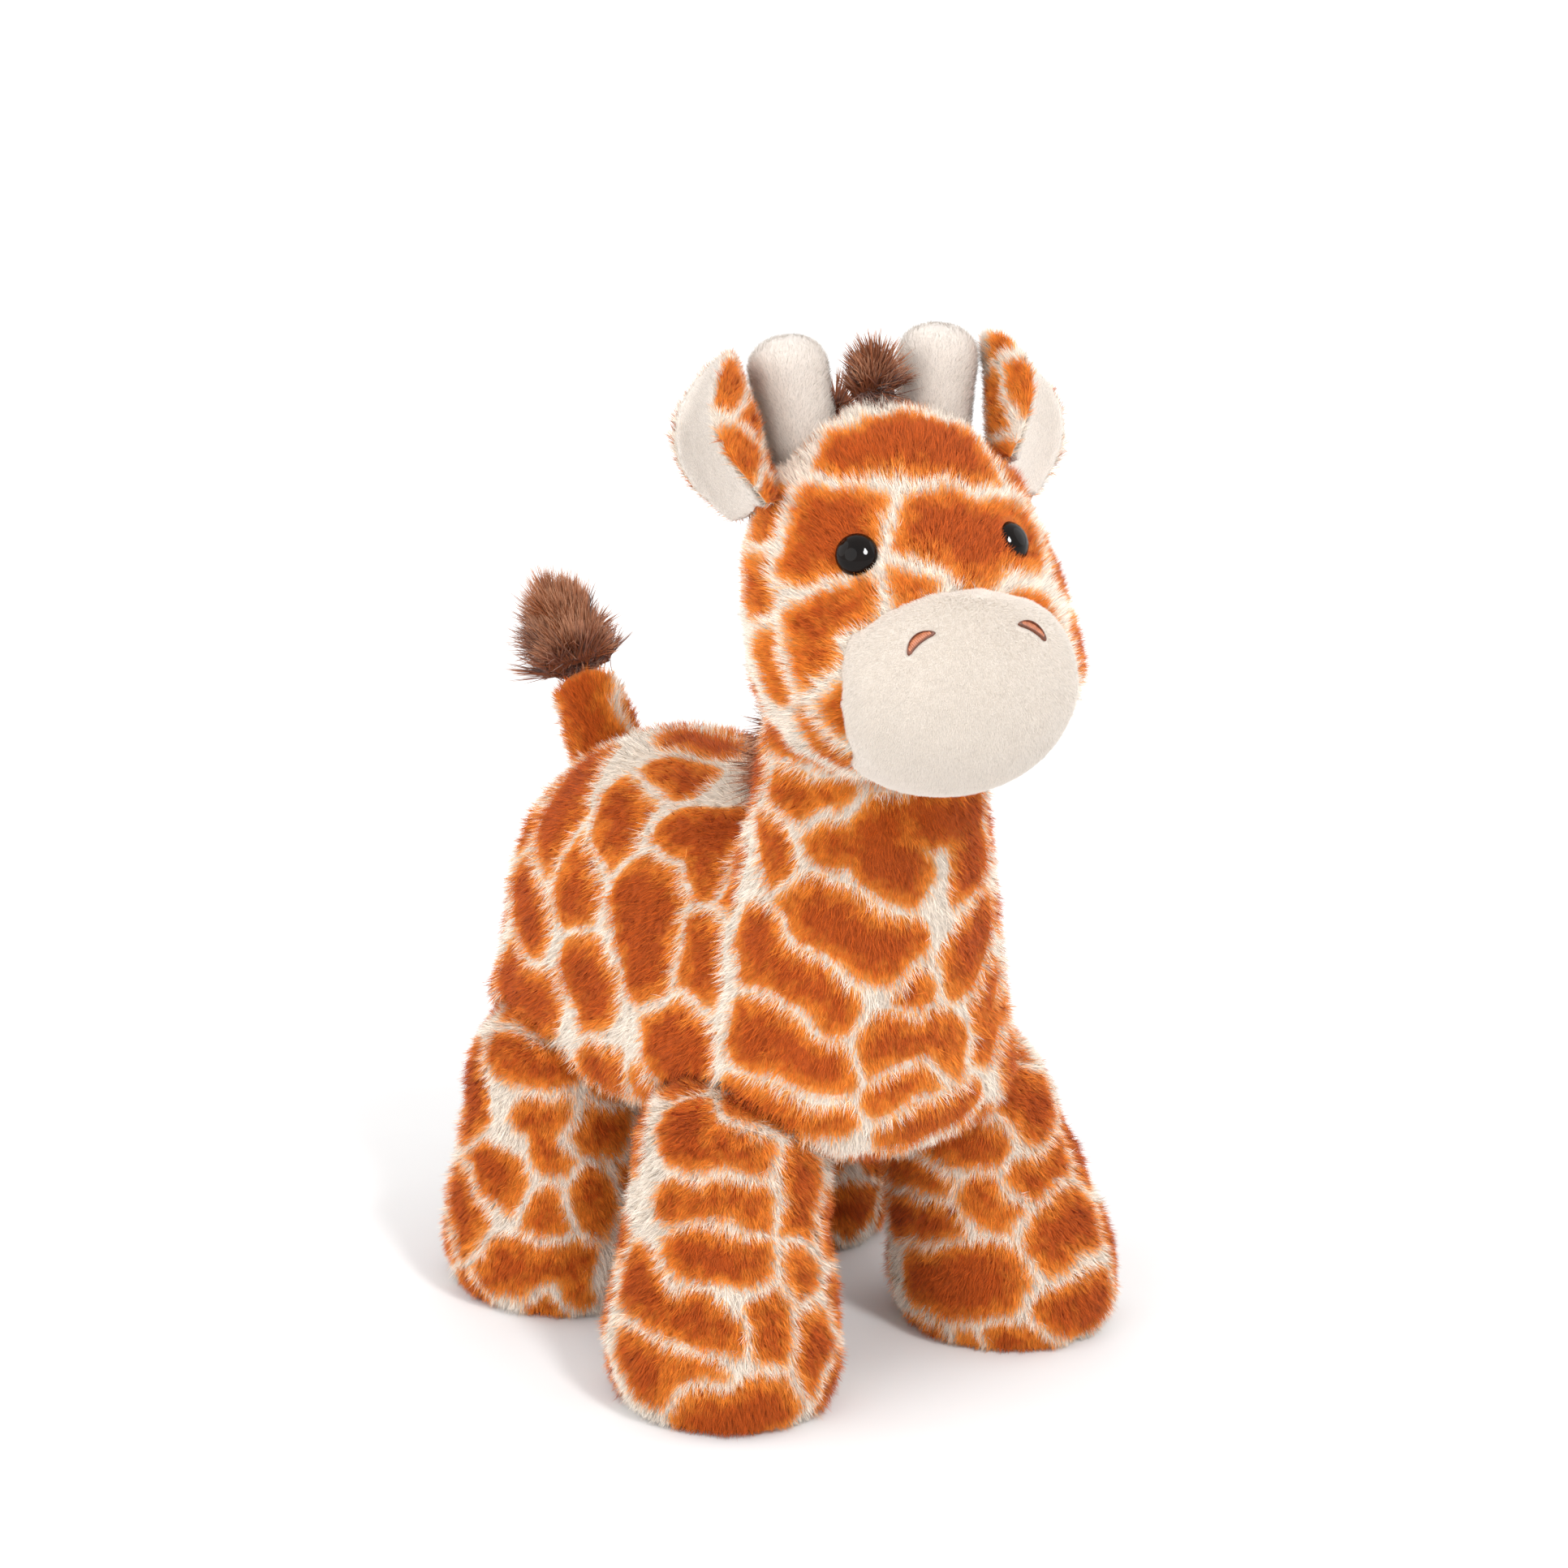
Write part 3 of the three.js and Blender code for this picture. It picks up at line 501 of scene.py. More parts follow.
@dataclass
class Skin:
    """A stuffed cover, made from the solids that it stands for."""

    name: str
    body: str
    cover: str
    slot: str
    filling: tuple[str, ...] = ()
    voxel: float = 0.002
    inset: float = 0.0008
    swell: float = 0.0006
    smoothing: int = 4
    puff: float = 0.0007
    fill: float = 0.8
    overhangs: bool = False
    obj: Object | None = None
    surface: Surface | None = None

    def sew(self, frame: dict) -> None:
        """Joins the cover and its filling into one closed skin, a little inside the cover.

        Args:
            frame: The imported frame.
        """
        bm = bmesh.new()
        for node in (self.cover, *self.filling):
            part = bmesh.new()
            part.from_mesh(frame["nodes"][node].data)
            bmesh.ops.remove_doubles(part, verts=part.verts, dist=WELD)
            part.normal_update()
            if node != self.cover:
                for vert in part.verts:
                    vert.co += vert.normal * self.swell
            copy = baked(part, "part")
            bm.from_mesh(copy)
            bpy.data.meshes.remove(copy)
        self.obj = add_object(self.name, baked(bm, self.name))
        remesh = self.obj.modifiers.new("cloth", "REMESH")
        remesh.mode = "VOXEL"
        remesh.voxel_size = self.voxel
        settle(self.obj)
        self.relax()

    def relax(self) -> None:
        """Smooths the skin and sets it a little inside the cover."""
        bm = bmesh.new()
        bm.from_mesh(self.obj.data)
        for _ in range(self.smoothing):
            bmesh.ops.smooth_vert(
                bm, verts=bm.verts, factor=0.5, use_axis_x=True, use_axis_y=True, use_axis_z=True
            )
        bm.normal_update()
        for vert, normal in [(v, v.normal.copy()) for v in bm.verts]:
            vert.co -= normal * self.inset
        bm.to_mesh(self.obj.data)
        bm.free()

    def load_cloth(self) -> None:
        """Puts the skin under the filling's pressure."""
        cloth = self.obj.modifiers.new("pressure", "CLOTH")
        settings = cloth.settings
        settings.quality = 3
        settings.mass = 0.15
        settings.use_pressure = True
        settings.uniform_pressure_force = 4
        settings.tension_stiffness = settings.compression_stiffness = 12
        settings.bending_stiffness = 0.4
        settings.effector_weights.gravity = 0
        cloth.collision_settings.use_collision = False
        cloth.point_cache.frame_start = 1
        cloth.point_cache.frame_end = 20

    def unload_cloth(self) -> None:
        """Keeps the puffed shape, with each point's move capped."""
        before = Surface.of(self.obj.data).points
        swollen = evaluated(self.obj)
        after = Surface.of(swollen).points
        bpy.data.meshes.remove(swollen)
        self.obj.modifiers.clear()
        move = after - before
        length = np.linalg.norm(move, axis=1, keepdims=True)
        move *= np.minimum(1, self.puff / np.maximum(length, TINY))
        self.obj.data.vertices.foreach_set("co", (before + move).astype(np.float32).ravel())
        self.obj.data.update()

    def finish(self) -> None:
        """Rounds the skin, flattens it on the floor, shades it smooth and ties it to the frame."""
        soft = self.obj.modifiers.new("round", "SUBSURF")
        soft.levels = soft.render_levels = 1
        settle(self.obj)
        for vert in self.obj.data.vertices:
            vert.co.z = max(vert.co.z, FLOOR_GAP)
        self.obj.data.shade_smooth()
        self.surface = Surface.of(self.obj.data)
        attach(self.obj, self.body)
        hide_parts(self.cover, *self.filling)


@dataclass
class Coat:
    """Pile on a skin: tapered strands that lie with a nap, one mesh per skin.

    The density is in strands per square millimetre, and the lean is in degrees from upright.
    """

    length: float
    density: float
    width: float = 0.00024
    lean: float = 46
    scatter: float = 0.2
    clump: float = 0.14
    clump_size: float = 0.0024
    joints: int = 1
    droop: float = 0.0
    vary: float = 0.15
    vary_size: float = 0.012
    lengths: Span = (0.65, 1.1)
    shortest: float = 0.001
    stretch: float = 1.3
    rise: float = 0.12
    twist: float = 0.9
    taper: float = 0.5
    sunk: float = 0.0003
    least_room: float = 0.0003
    share: float = 0.8
    limit: int = 190000

    def roots(self, surface: Surface, rng: np.random.Generator) -> tuple[Array, Array, Array]:
        """Picks evenly spread roots on a surface.

        Args:
            surface: The skin's surface.
            rng: Seeded random numbers.

        Returns:
            Places, normals and free room of the roots.
        """
        corners = surface.points[surface.triangles]
        crossed = np.cross(corners[:, 1] - corners[:, 0], corners[:, 2] - corners[:, 0])
        areas = np.linalg.norm(crossed, axis=1) / 2
        areas *= surface.room[surface.triangles].mean(1) > self.least_room
        wanted = areas.sum() * self.density * PER_SQUARE_MM
        count = int(min(wanted, self.limit / (2 * self.joints - 1)))
        steps = (np.arange(count) + rng.random(count)) / count
        picked = np.minimum(np.searchsorted(np.cumsum(areas) / areas.sum(), steps), len(areas) - 1)
        first, second = np.sqrt(rng.random(count)), rng.random(count)
        weights = np.stack([1 - first, first * (1 - second), first * second], 1)[:, :, None]
        chosen = surface.triangles[picked]
        places = (surface.points[chosen] * weights).sum(1)
        normals = unit((surface.normals[chosen] * weights).sum(1))
        room = (surface.room[chosen] * weights[:, :, 0]).sum(1)
        return places, normals, room

    def grow(self, name: str, skin: Skin, flow: Flow, tint: PatchPrint, seed: int) -> Object:
        """Grows the pile of a skin.

        Args:
            name: Name of the new piece.
            skin: Skin that carries the pile.
            flow: Gives the nap's direction at places with normals.
            tint: Print that tells the strands their colour.
            seed: Number that picks the strands.

        Returns:
            The pile.
        """
        rng = np.random.default_rng(seed)
        places, normals, room = self.roots(skin.surface, rng)
        nap = flow(places, normals)
        nap = unit(nap - (nap * normals).sum(1, keepdims=True) * normals)
        lean = math.radians(self.lean)
        swirl = self.clump * ripples(places, self.clump_size, seed)
        swirl += self.scatter * rng.normal(size=places.shape)
        heading = unit(math.cos(lean) * normals + math.sin(lean) * nap + swirl)
        sink = (heading * normals).sum(1, keepdims=True)
        heading = unit(heading + np.maximum(self.rise - sink, 0) * normals)
        length = self.length * rng.uniform(*self.lengths, len(places))
        length *= 1 + self.vary * ripple(places, self.vary_size, seed)
        length = np.minimum(length, self.shortest + room * self.stretch)
        side = unit(np.cross(normals, heading))
        turn = rng.uniform(-self.twist, self.twist, len(places))[:, None]
        face = np.cross(heading, side)
        side = np.cos(turn) * side + np.sin(turn) * face
        outward = (np.cross(side, heading) * normals).sum(1, keepdims=True)
        side = np.where(outward < 0, -side, side)
        depth = tint.depth(places)
        order = np.argsort(depth, kind="stable")
        arrays = [a[order] for a in (places, normals, heading, side, length, depth)]
        return self.weave(name, skin, arrays, rng)

    def weave(self, name: str, skin: Skin, strands: list[Array], rng: np.random.Generator) -> Object:
        """Makes the strands' mesh, each a strip of quads with a pointed end.

        Args:
            name: Name of the new piece.
            skin: Skin that carries the pile.
            strands: Places, normals, headings, sides, lengths and depths of the roots.
            rng: Seeded random numbers.

        Returns:
            The pile.
        """
        places, normals, heading, side, length, depth = strands
        count, joints = len(places), self.joints
        rows, along = [], []
        for step in range(joints):
            share = step / joints
            middle = places + heading * (length * share)[:, None] - normals * self.sunk * (step == 0)
            middle[:, 2] -= self.droop * length * share**2
            half = side * (self.width / 2 * (1 - self.taper * share))
            rows += [middle - half, middle + half]
            along += [share, share]
        tip = places + heading * length[:, None]
        tip[:, 2] -= self.droop * length
        rows.append(tip)
        along.append(1.0)
        points = np.stack(rows, 1)
        points[:, :, 2] = np.maximum(points[:, :, 2], FLOOR_GAP)
        per = 2 * joints + 1
        shapes = [(2 * s, 2 * s + 1, 2 * s + 3, 2 * s + 2) for s in range(joints - 1)]
        shapes.append((2 * joints - 2, 2 * joints - 1, 2 * joints))
        base = np.arange(count)[:, None] * per
        corners = np.concatenate([base + np.array(shape) for shape in shapes], 1).ravel()
        totals = np.tile([len(shape) for shape in shapes], count)
        starts = np.concatenate([[0], np.cumsum(totals)[:-1]])
        mesh = bpy.data.meshes.new(name)
        mesh.vertices.add(count * per)
        mesh.vertices.foreach_set("co", points.astype(np.float32).ravel())
        mesh.loops.add(len(corners))
        mesh.loops.foreach_set("vertex_index", corners.astype(np.int32))
        mesh.polygons.add(len(totals))
        mesh.polygons.foreach_set("loop_start", starts.astype(np.int32))
        mesh.update(calc_edges=True)
        attribute(mesh, "depth", np.repeat(depth, per))
        attribute(mesh, "tuft", np.repeat(rng.random(count), per))
        attribute(mesh, "along", np.tile(along, count))
        face = unit(np.cross(side, heading))
        face *= np.sign((face * normals).sum(1, keepdims=True) + TINY)
        shade = unit(self.share * normals + (1 - self.share) * face)
        attribute(mesh, "custom_normal", np.repeat(shade, per, axis=0))
        self.unwrap(mesh, corners, per, count)
        obj = add_object(name, mesh)
        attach(obj, skin.body)
        return obj

    @staticmethod
    def unwrap(mesh: Mesh, corners: Array, per: int, count: int) -> None:
        """Gives every strand its own small cell of the texture map.

        Args:
            mesh: The strands' mesh.
            corners: Point of each face corner.
            per: Points in a strand.
            count: Number of strands.
        """
        low, high, left, middle = 0.2, 0.8, 0.25, 0.5
        cells = math.ceil(math.sqrt(count))
        strand, point = corners // per, corners % per
        tip = point == per - 1
        rise = np.where(tip, high, low + (high - low) * (point // 2) / ((per + 1) // 2))
        run = np.where(tip, middle, left + middle * (point % 2))
        layer = mesh.uv_layers.new(name="OFBake")
        uv = np.stack([(strand % cells + run) / cells, (strand // cells + rise) / cells], 1)
        layer.data.foreach_set("uv", uv.astype(np.float32).ravel())


class Graph:
    """Nodes of a material or a group, added and linked in one step."""

    def __init__(self, tree: NodeTree) -> None:
        """Starts on a node tree."""
        self.tree = tree

    def add(self, kind: str, links: dict | None = None, **values: object) -> Node:
        """Adds a node.

        Args:
            kind: Node type without its ShaderNode prefix.
            links: Sockets by name or number, each an output socket or a plain value.
            values: Properties of the node.

        Returns:
            The node.
        """
        node = self.tree.nodes.new(kind if kind.startswith("Node") else "ShaderNode" + kind)
        for key, value in values.items():
            setattr(node, key, value)
        for key, value in (links or {}).items():
            if isinstance(value, NodeSocket):
                self.tree.links.new(value, node.inputs[key])
            else:
                node.inputs[key].default_value = value
        return node

    def math(self, operation: str, *values: object) -> NodeSocket:
        """Adds a Math node and gives its result."""
        return self.add("Math", dict(enumerate(values)), operation=operation).outputs[0]

    def blend(self, share: object, low: object, high: object) -> NodeSocket:
        """Mixes two colours and gives the result."""
        node = self.add("Mix", {0: share, 6: low, 7: high}, data_type="RGBA")
        return node.outputs[2]

    def step(self, value: object, low: float, high: float) -> NodeSocket:
        """Gives a smooth step from 0 to 1 as a value goes from low to high."""
        links = {"Value": value, "From Min": low, "From Max": high}
        return self.add("MapRange", links, interpolation_type="SMOOTHSTEP").outputs[0]

    def noise(self, scale: float, detail: float = 3.0) -> NodeSocket:
        """Gives a noise on object coordinates, scaled per metre."""
        place = self.add("TexCoord").outputs["Object"]
        return self.add("TexNoise", {"Vector": place, "Scale": scale, "Detail": detail}).outputs["Fac"]

    def bump(self, height: object, strength: float, depth: float) -> NodeSocket:
        """Gives normals that a height bends."""
        return self.add("Bump", {"Height": height, "Strength": strength, "Distance": depth}).outputs[0]

    def stored(self, name: str) -> NodeSocket:
        """Gives a value that the mesh stores at its points."""
        return self.add("Attribute", attribute_name=name).outputs["Fac"]


def group(name: str, inputs: dict[str, object], output: str) -> tuple[Graph, Node, Node]:
    """Starts a node group with one output.

    Args:
        name: Name of the group.
        inputs: Default of each input: a number or a colour.
        output: Name of the colour that it puts out.

    Returns:
        The group's graph, its input node and its output node.
    """
    tree = bpy.data.node_groups.new(name, "ShaderNodeTree")
    for key, value in inputs.items():
        kind = "NodeSocketFloat" if isinstance(value, float) else "NodeSocketColor"
        tree.interface.new_socket(key, in_out="INPUT", socket_type=kind).default_value = value
    tree.interface.new_socket(output, in_out="OUTPUT", socket_type="NodeSocketColor")
    graph = Graph(tree)
    return graph, graph.add("NodeGroupInput"), graph.add("NodeGroupOutput")


def pile_shade() -> None:
    """Builds the group that paints shade on each strand, darker towards its root, and varies strand from
    strand.
    """
    white, curve, mean = (1.0, 1.0, 1.0, 1.0), 0.6, 0.5
    inputs = {"Color": white, "Tuft": mean, "Along": 0.4, "Painted Shade": 0.6, "Spread": 0.2}
    graph, into, out = group("pile_shade", inputs, "Color")
    # Painted shade: the colour is scaled from the shade level given for the root up to full brightness at
    # the tip.
    rise = graph.math("POWER", into.outputs["Along"], curve)
    root = graph.math("SUBTRACT", 1.0, into.outputs["Painted Shade"])
    light = graph.math("MULTIPLY_ADD", rise, root, into.outputs["Painted Shade"])
    vary = graph.math("MULTIPLY", graph.math("SUBTRACT", into.outputs["Tuft"], mean), into.outputs["Spread"])
    level = graph.math("MULTIPLY", light, graph.math("ADD", vary, 1.0))
    shaded = graph.add("VectorMath", {0: into.outputs["Color"], "Scale": level}, operation="SCALE")
    graph.tree.links.new(shaded.outputs[0], out.inputs["Color"])


@dataclass(frozen=True)
class PrintTint:
    """The print's colours from the cream ground to the middle of a blotch, by the depth in millimetres."""

    cream: str = "FFF2E3"
    rim: str = "FFB566"
    middle: str = "F58C2E"
    deep: str = "C65718"
    edge: Span = (-0.35, 0.35)
    rim_end: Span = (0.2, 1.5)
    deep_end: Span = (0.6, 5.4)
    mingle: float = 1.1
    cloud: float = 9.0
    cloud_scale: float = 330

    def build(self) -> None:
        """Builds the group that colours the print."""
        mean = 0.5
        tones = {"Cream": self.cream, "Rim": self.rim, "Middle": self.middle, "Deep": self.deep}
        inputs = {"Depth": -1.0, "Tuft": mean} | {name: srgb(code) for name, code in tones.items()}
        graph, into, out = group("print_tint", inputs, "Color")
        tuft = graph.math("SUBTRACT", into.outputs["Tuft"], mean)
        loose = graph.math("MULTIPLY_ADD", tuft, self.mingle, into.outputs["Depth"])
        drift = graph.math("SUBTRACT", graph.noise(self.cloud_scale), mean)
        cloud = graph.math("MULTIPLY_ADD", drift, self.cloud, loose)
        orange = graph.blend(graph.step(loose, *self.rim_end), into.outputs["Rim"], into.outputs["Middle"])
        orange = graph.blend(graph.step(cloud, *self.deep_end), orange, into.outputs["Deep"])
        colour = graph.blend(graph.step(loose, *self.edge), into.outputs["Cream"], orange)
        graph.tree.links.new(colour, out.inputs["Color"])


def once(name: str, shade: Callable[[Graph], Node]) -> Material:
    """Gives a material by its name and makes it the first time.

    Args:
        name: Name of the material.
        shade: Adds the nodes and gives the shader.

    Returns:
        The material.
    """
    if name in bpy.data.materials:
        return bpy.data.materials[name]
    mat = bpy.data.materials.new(name)
    mat.use_nodes = True
    mat.node_tree.nodes.clear()
    graph = Graph(mat.node_tree)
    graph.add("OutputMaterial", {"Surface": shade(graph).outputs[0]})
    return mat


class Part(Enum):
    """The two layers that a furred finish is put on."""

    SKIN = "skin"
    PILE = "pile"


@dataclass(frozen=True)
class Furred:
    """A pile fabric: what the strands and the cloth under them look like."""

    name: str
    # Painted shade: root sets how bright the root end of each strand is, standing in for the shade deep in
    # the pile.
    root: float = 0.6
    # Painted shade: cloth darkens the bare skin under the pile all over, standing in for the shade that the
    # pile casts on it.
    cloth: float = 0.75
    spread: float = 0.25
    sheen: float = 0.25
    sheen_rough: float = 0.5
    rough: float = 0.85
    level: float = 0.15
    printed: bool = False
    base: str = "F5EEE4"
    tip: str = "F8F2EA"
    tip_start: float = 0.5
    tip_end: float = 1.4
    # How far a noise shifts where each strand turns to its tip colour, and the noise's scale per metre.
    wear: float = 0.5
    wear_scale: float = 140
    weave: float = 0.5
    weave_scale: float = 2600
    weave_detail: float = 2.0
    weave_depth: float = 0.0004

    def material(self, layer: Part) -> Material:
        """Gives the finish of the strands or of the cloth."""
        return once(f"{self.name}_{layer.value}", lambda graph: self.shader(graph, layer is Part.PILE))

    def shader(self, graph: Graph, pile: bool) -> Node:
        """Adds the nodes of the finish.

        Args:
            graph: The material's nodes.
            pile: Whether it is for the strands.

        Returns:
            The shader.
        """
        groups = bpy.data.node_groups
        tuft = graph.stored("tuft") if pile else 0.5
        along = graph.stored("along") if pile else 0.0
        if self.printed:
            links = {"Depth": graph.stored("depth"), "Tuft": tuft}
            colour = graph.add("Group", links, node_tree=groups["print_tint"]).outputs["Color"]
        else:
            # Each strand turns from base to tip colour towards its tip, and a noise shifts where the change
            # starts.
            worn = graph.math("MULTIPLY_ADD", graph.noise(self.wear_scale), self.wear, along)
            share = graph.step(worn, self.tip_start, self.tip_end)
            colour = graph.blend(share, srgb(self.base), srgb(self.tip))
        # Painted shade: strands darken towards their root, and the bare skin is darkened all over by cloth.
        links = {
            "Color": colour, "Tuft": tuft, "Along": along,
            "Painted Shade": self.root if pile else self.cloth, "Spread": self.spread,
        }
        shade = graph.add("Group", links, node_tree=groups["pile_shade"])
        links = {
            "Base Color": shade.outputs["Color"], "Roughness": self.rough, "Specular IOR Level": self.level,
            "Sheen Weight": self.sheen, "Sheen Roughness": self.sheen_rough,
        }
        if not pile:
            threads = graph.noise(self.weave_scale, self.weave_detail)
            links["Normal"] = graph.bump(threads, self.weave, self.weave_depth)
        return graph.add("BsdfPrincipled", links)


@dataclass(frozen=True)
class Hard:
    """A finish without pile: plastic or thread."""

    name: str
    light: str
    dark: str
    grain: float
    rough: Span
    level: float = 0.5
    mix: Span = (0.3, 0.7)
    bump: float = 0.0
    bump_depth: float = 0.0001

    def material(self) -> Material:
        """Gives the finish."""
        return once(self.name, self.shader)

    def shader(self, graph: Graph) -> Node:
        """Adds the nodes of the finish.

        Args:
            graph: The material's nodes.

        Returns:
            The shader.
        """
        cloud = graph.noise(self.grain)
        rough = graph.add("MapRange", {"Value": cloud, "To Min": self.rough[0], "To Max": self.rough[1]})
        links = {
            "Base Color": graph.blend(graph.step(cloud, *self.mix), srgb(self.dark), srgb(self.light)),
            "Roughness": rough.outputs[0], "Specular IOR Level": self.level,
        }
        if self.bump:
            links["Normal"] = graph.bump(cloud, self.bump, self.bump_depth)
        return graph.add("BsdfPrincipled", links)


# Painted shade: root and cloth below set how dark the strands' roots and the bare skin are painted.
PRINT = Furred("print_plush", printed=True, root=0.8, spread=0.7, sheen=0.08)
CREAM = Furred("cream_plush", root=0.9, spread=0.12, sheen=0.3, base="F3E7DA", tip="F9F0E6")
# Painted light: a lighter copy of the cream plush, standing in for light on the shaded horns and ear
# linings.
PAINTED_LIGHT_CREAM = replace(CREAM, name="horn_plush", base="FBF1E7", tip="FEF6EE", sheen=0.5)
BROWN = Furred(
    "brown_pile", root=0.75, cloth=0.5, spread=0.45, base="8A4B29", tip="D49E7C", tip_start=0.75
)
EYE = Hard("eye_dome_gloss", "120A07", "090504", 220, (0.03, 0.06), level=0.18)
THREAD = Hard("nostril_thread", "C77B55", "A85F3C", 900, (0.45, 0.65), bump=0.3)
EDGE_THREAD = Hard("edge_thread", "7A3F26", "58301C", 900, (0.5, 0.7), bump=0.3)
WASHER = Hard("washer_moulding", "ECECE8", "DADAD4", 300, (0.35, 0.5))


def dress(obj: Object, mat: Material) -> None:
    """Gives a piece its one material."""
    obj.data.materials.clear()
    obj.data.materials.append(mat)


def towards(x: float, y: float, z: float) -> Flow:
    """Gives a nap that lies the same way all over."""
    way = np.array([x, y, z])
    return lambda places, normals: np.broadcast_to(way, places.shape)


def away_from(centre: Array) -> Flow:
    """Gives a nap that fans out from a point."""
    return lambda places, normals: places - centre


@dataclass
class PlushPart:
    """A stuffed piece of the toy: its skin and the pile that grows on it.

    The blotches' radius and the reach around the skin are in millimetres. A place whose normal's share
    towards the camera is under turned counts as hidden.
    """

    skin: Skin
    finish: Furred
    coat: Coat
    flow: Flow
    seed: int
    turned: float = 0.12
    blotch: float = 7.0
    around: float = 14
    lining: Skin | None = None
    tint: PatchPrint = field(default_factory=PatchPrint)

    def build(self, frame: dict) -> None:
        """Sews the skin."""
        self.skin.sew(frame)

    def colour(self, bare: Array, blotches: list[Blotch]) -> None:
        """Lays the print out on the skin.

        Args:
            bare: Places that the marks on the photograph don't reach.
            blotches: All the blotches so far, which the new ones join.
        """
        if self.finish.printed:
            places = self.skin.surface.points / MM
            low, high = places.min(0) - self.around, places.max(0) + self.around
            near = [b for b in blotches if any(np.all((low < s[:3]) & (s[:3] < high)) for s in b)]
            self.tint.blotches = list(near)
            self.tint.scatter(bare, self.seed, self.blotch)
            blotches += self.tint.blotches[len(near) :]
            self.tint.hem = self.lining and self.lining.surface.tree
        attribute(self.skin.obj.data, "depth", self.tint.depth(self.skin.surface.points))

    def dress(self) -> None:
        """Grows the pile and gives both layers their finish."""
        name = self.skin.name.replace("skin", "pile")
        pile = self.coat.grow(name, self.skin, self.flow, self.tint, self.seed)
        dress(self.skin.obj, self.finish.material(Part.SKIN))
        dress(pile, self.finish.material(Part.PILE))
        log.info("%s: %d faces of pile", self.skin.name, len(pile.data.polygons))


PLUSH = Coat(length=0.0038, density=8.5, lean=55, scatter=0.19, clump=0.22)
LEAF = replace(PLUSH, length=0.003, density=14, width=0.0002)
NAP = Coat(
    length=0.0011, density=26, width=0.00015, lean=64, scatter=0.14, clump=0.04, share=0.95, vary=0.03
)
FUZZ = replace(NAP, length=0.0022, lean=62, scatter=0.22)
LONG = Coat(
    length=0.0085, density=10, width=0.0003, lean=24, scatter=0.26, clump=0.3, clump_size=0.006,
    joints=3, droop=0.06, share=0.45,
)
BRUSH = replace(LONG, length=0.010, lean=62, scatter=0.22, clump=0.26, droop=0.0)
LOCK = replace(BRUSH, length=0.0085, lean=40)
MANE = replace(LONG, length=0.015, lean=12, scatter=0.3)


def stuffed(name: str, body: str, slot: str, **sizes: float) -> Skin:
    """Gives the skin of a cover with its stuffing."""
    return Skin(f"{name}_skin", body, f"{name}_cover", slot, (f"{name}_stuffing",), **sizes)


def hair(node: str, body: str, voxel: float, inset: float) -> Skin:
    """Gives the skin under a piece of long brown pile."""
    return Skin(f"{node}_skin", body, node, "brown_pile", voxel=voxel, inset=inset)


@dataclass
class Trunk:
    """The torso with the neck sewn to it, and the mane behind the neck."""

    seed: int = 101
    inset: float = 0.0002
    mane_voxel: float = 0.0012
    mane_inset: float = 0.0008
    nap: Triple = (0, 0.3, -1)

    def parts(self, frame: dict) -> list[PlushPart]:
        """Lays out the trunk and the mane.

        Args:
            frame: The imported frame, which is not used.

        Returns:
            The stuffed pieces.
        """
        inner = ("torso_stuffing", "neck_cover", "neck_stuffing")
        trunk = Skin("torso_and_neck_skin", "body", "torso_cover", "print_plush", inner)
        trunk.inset, trunk.overhangs = self.inset, True
        mane = hair("neck_mane", "body", self.mane_voxel, self.mane_inset)
        return [
            PlushPart(trunk, PRINT, PLUSH, towards(*self.nap), self.seed),
            PlushPart(mane, BROWN, MANE, towards(*self.nap), self.seed + 2),
        ]


@dataclass
class Leg:
    """One stuffed leg on its flat sole."""

    end: str
    side: str
    seed: int
    inset: float = 0.0003

    def parts(self, frame: dict) -> list[PlushPart]:
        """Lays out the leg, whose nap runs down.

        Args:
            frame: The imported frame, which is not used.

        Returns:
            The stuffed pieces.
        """
        name = f"{self.end}_{self.side}_leg"
        skin = stuffed(name, name, "print_plush", inset=self.inset)
        skin.filling += (f"{self.end}_{self.side}_sole",)
        return [PlushPart(skin, PRINT, PLUSH, towards(0, 0, -1), self.seed)]


@dataclass
class Tail:
    """The upright tail with its tuft."""

    seed: int = 121
    voxel: float = 0.0016
    tuft_voxel: float = 0.0014
    tuft_inset: float = 0.0042

    def parts(self, frame: dict) -> list[PlushPart]:
        """Lays out the tail and the tuft, whose naps run up the tail.

        Args:
            frame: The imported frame.

        Returns:
            The stuffed pieces.
        """
        nodes = frame["nodes"]
        rise = Posture.of(nodes["tail_tuft"]).middle - Posture.of(nodes["tail_cover"]).middle
        cover = stuffed("tail", "tail", "print_plush", voxel=self.voxel)
        tuft = hair("tail_tuft", "tail", self.tuft_voxel, self.tuft_inset)
        return [
            PlushPart(cover, PRINT, PLUSH, towards(*unit(rise)), self.seed),
            PlushPart(tuft, BROWN, BRUSH, towards(*unit(rise)), self.seed + 1),
        ]


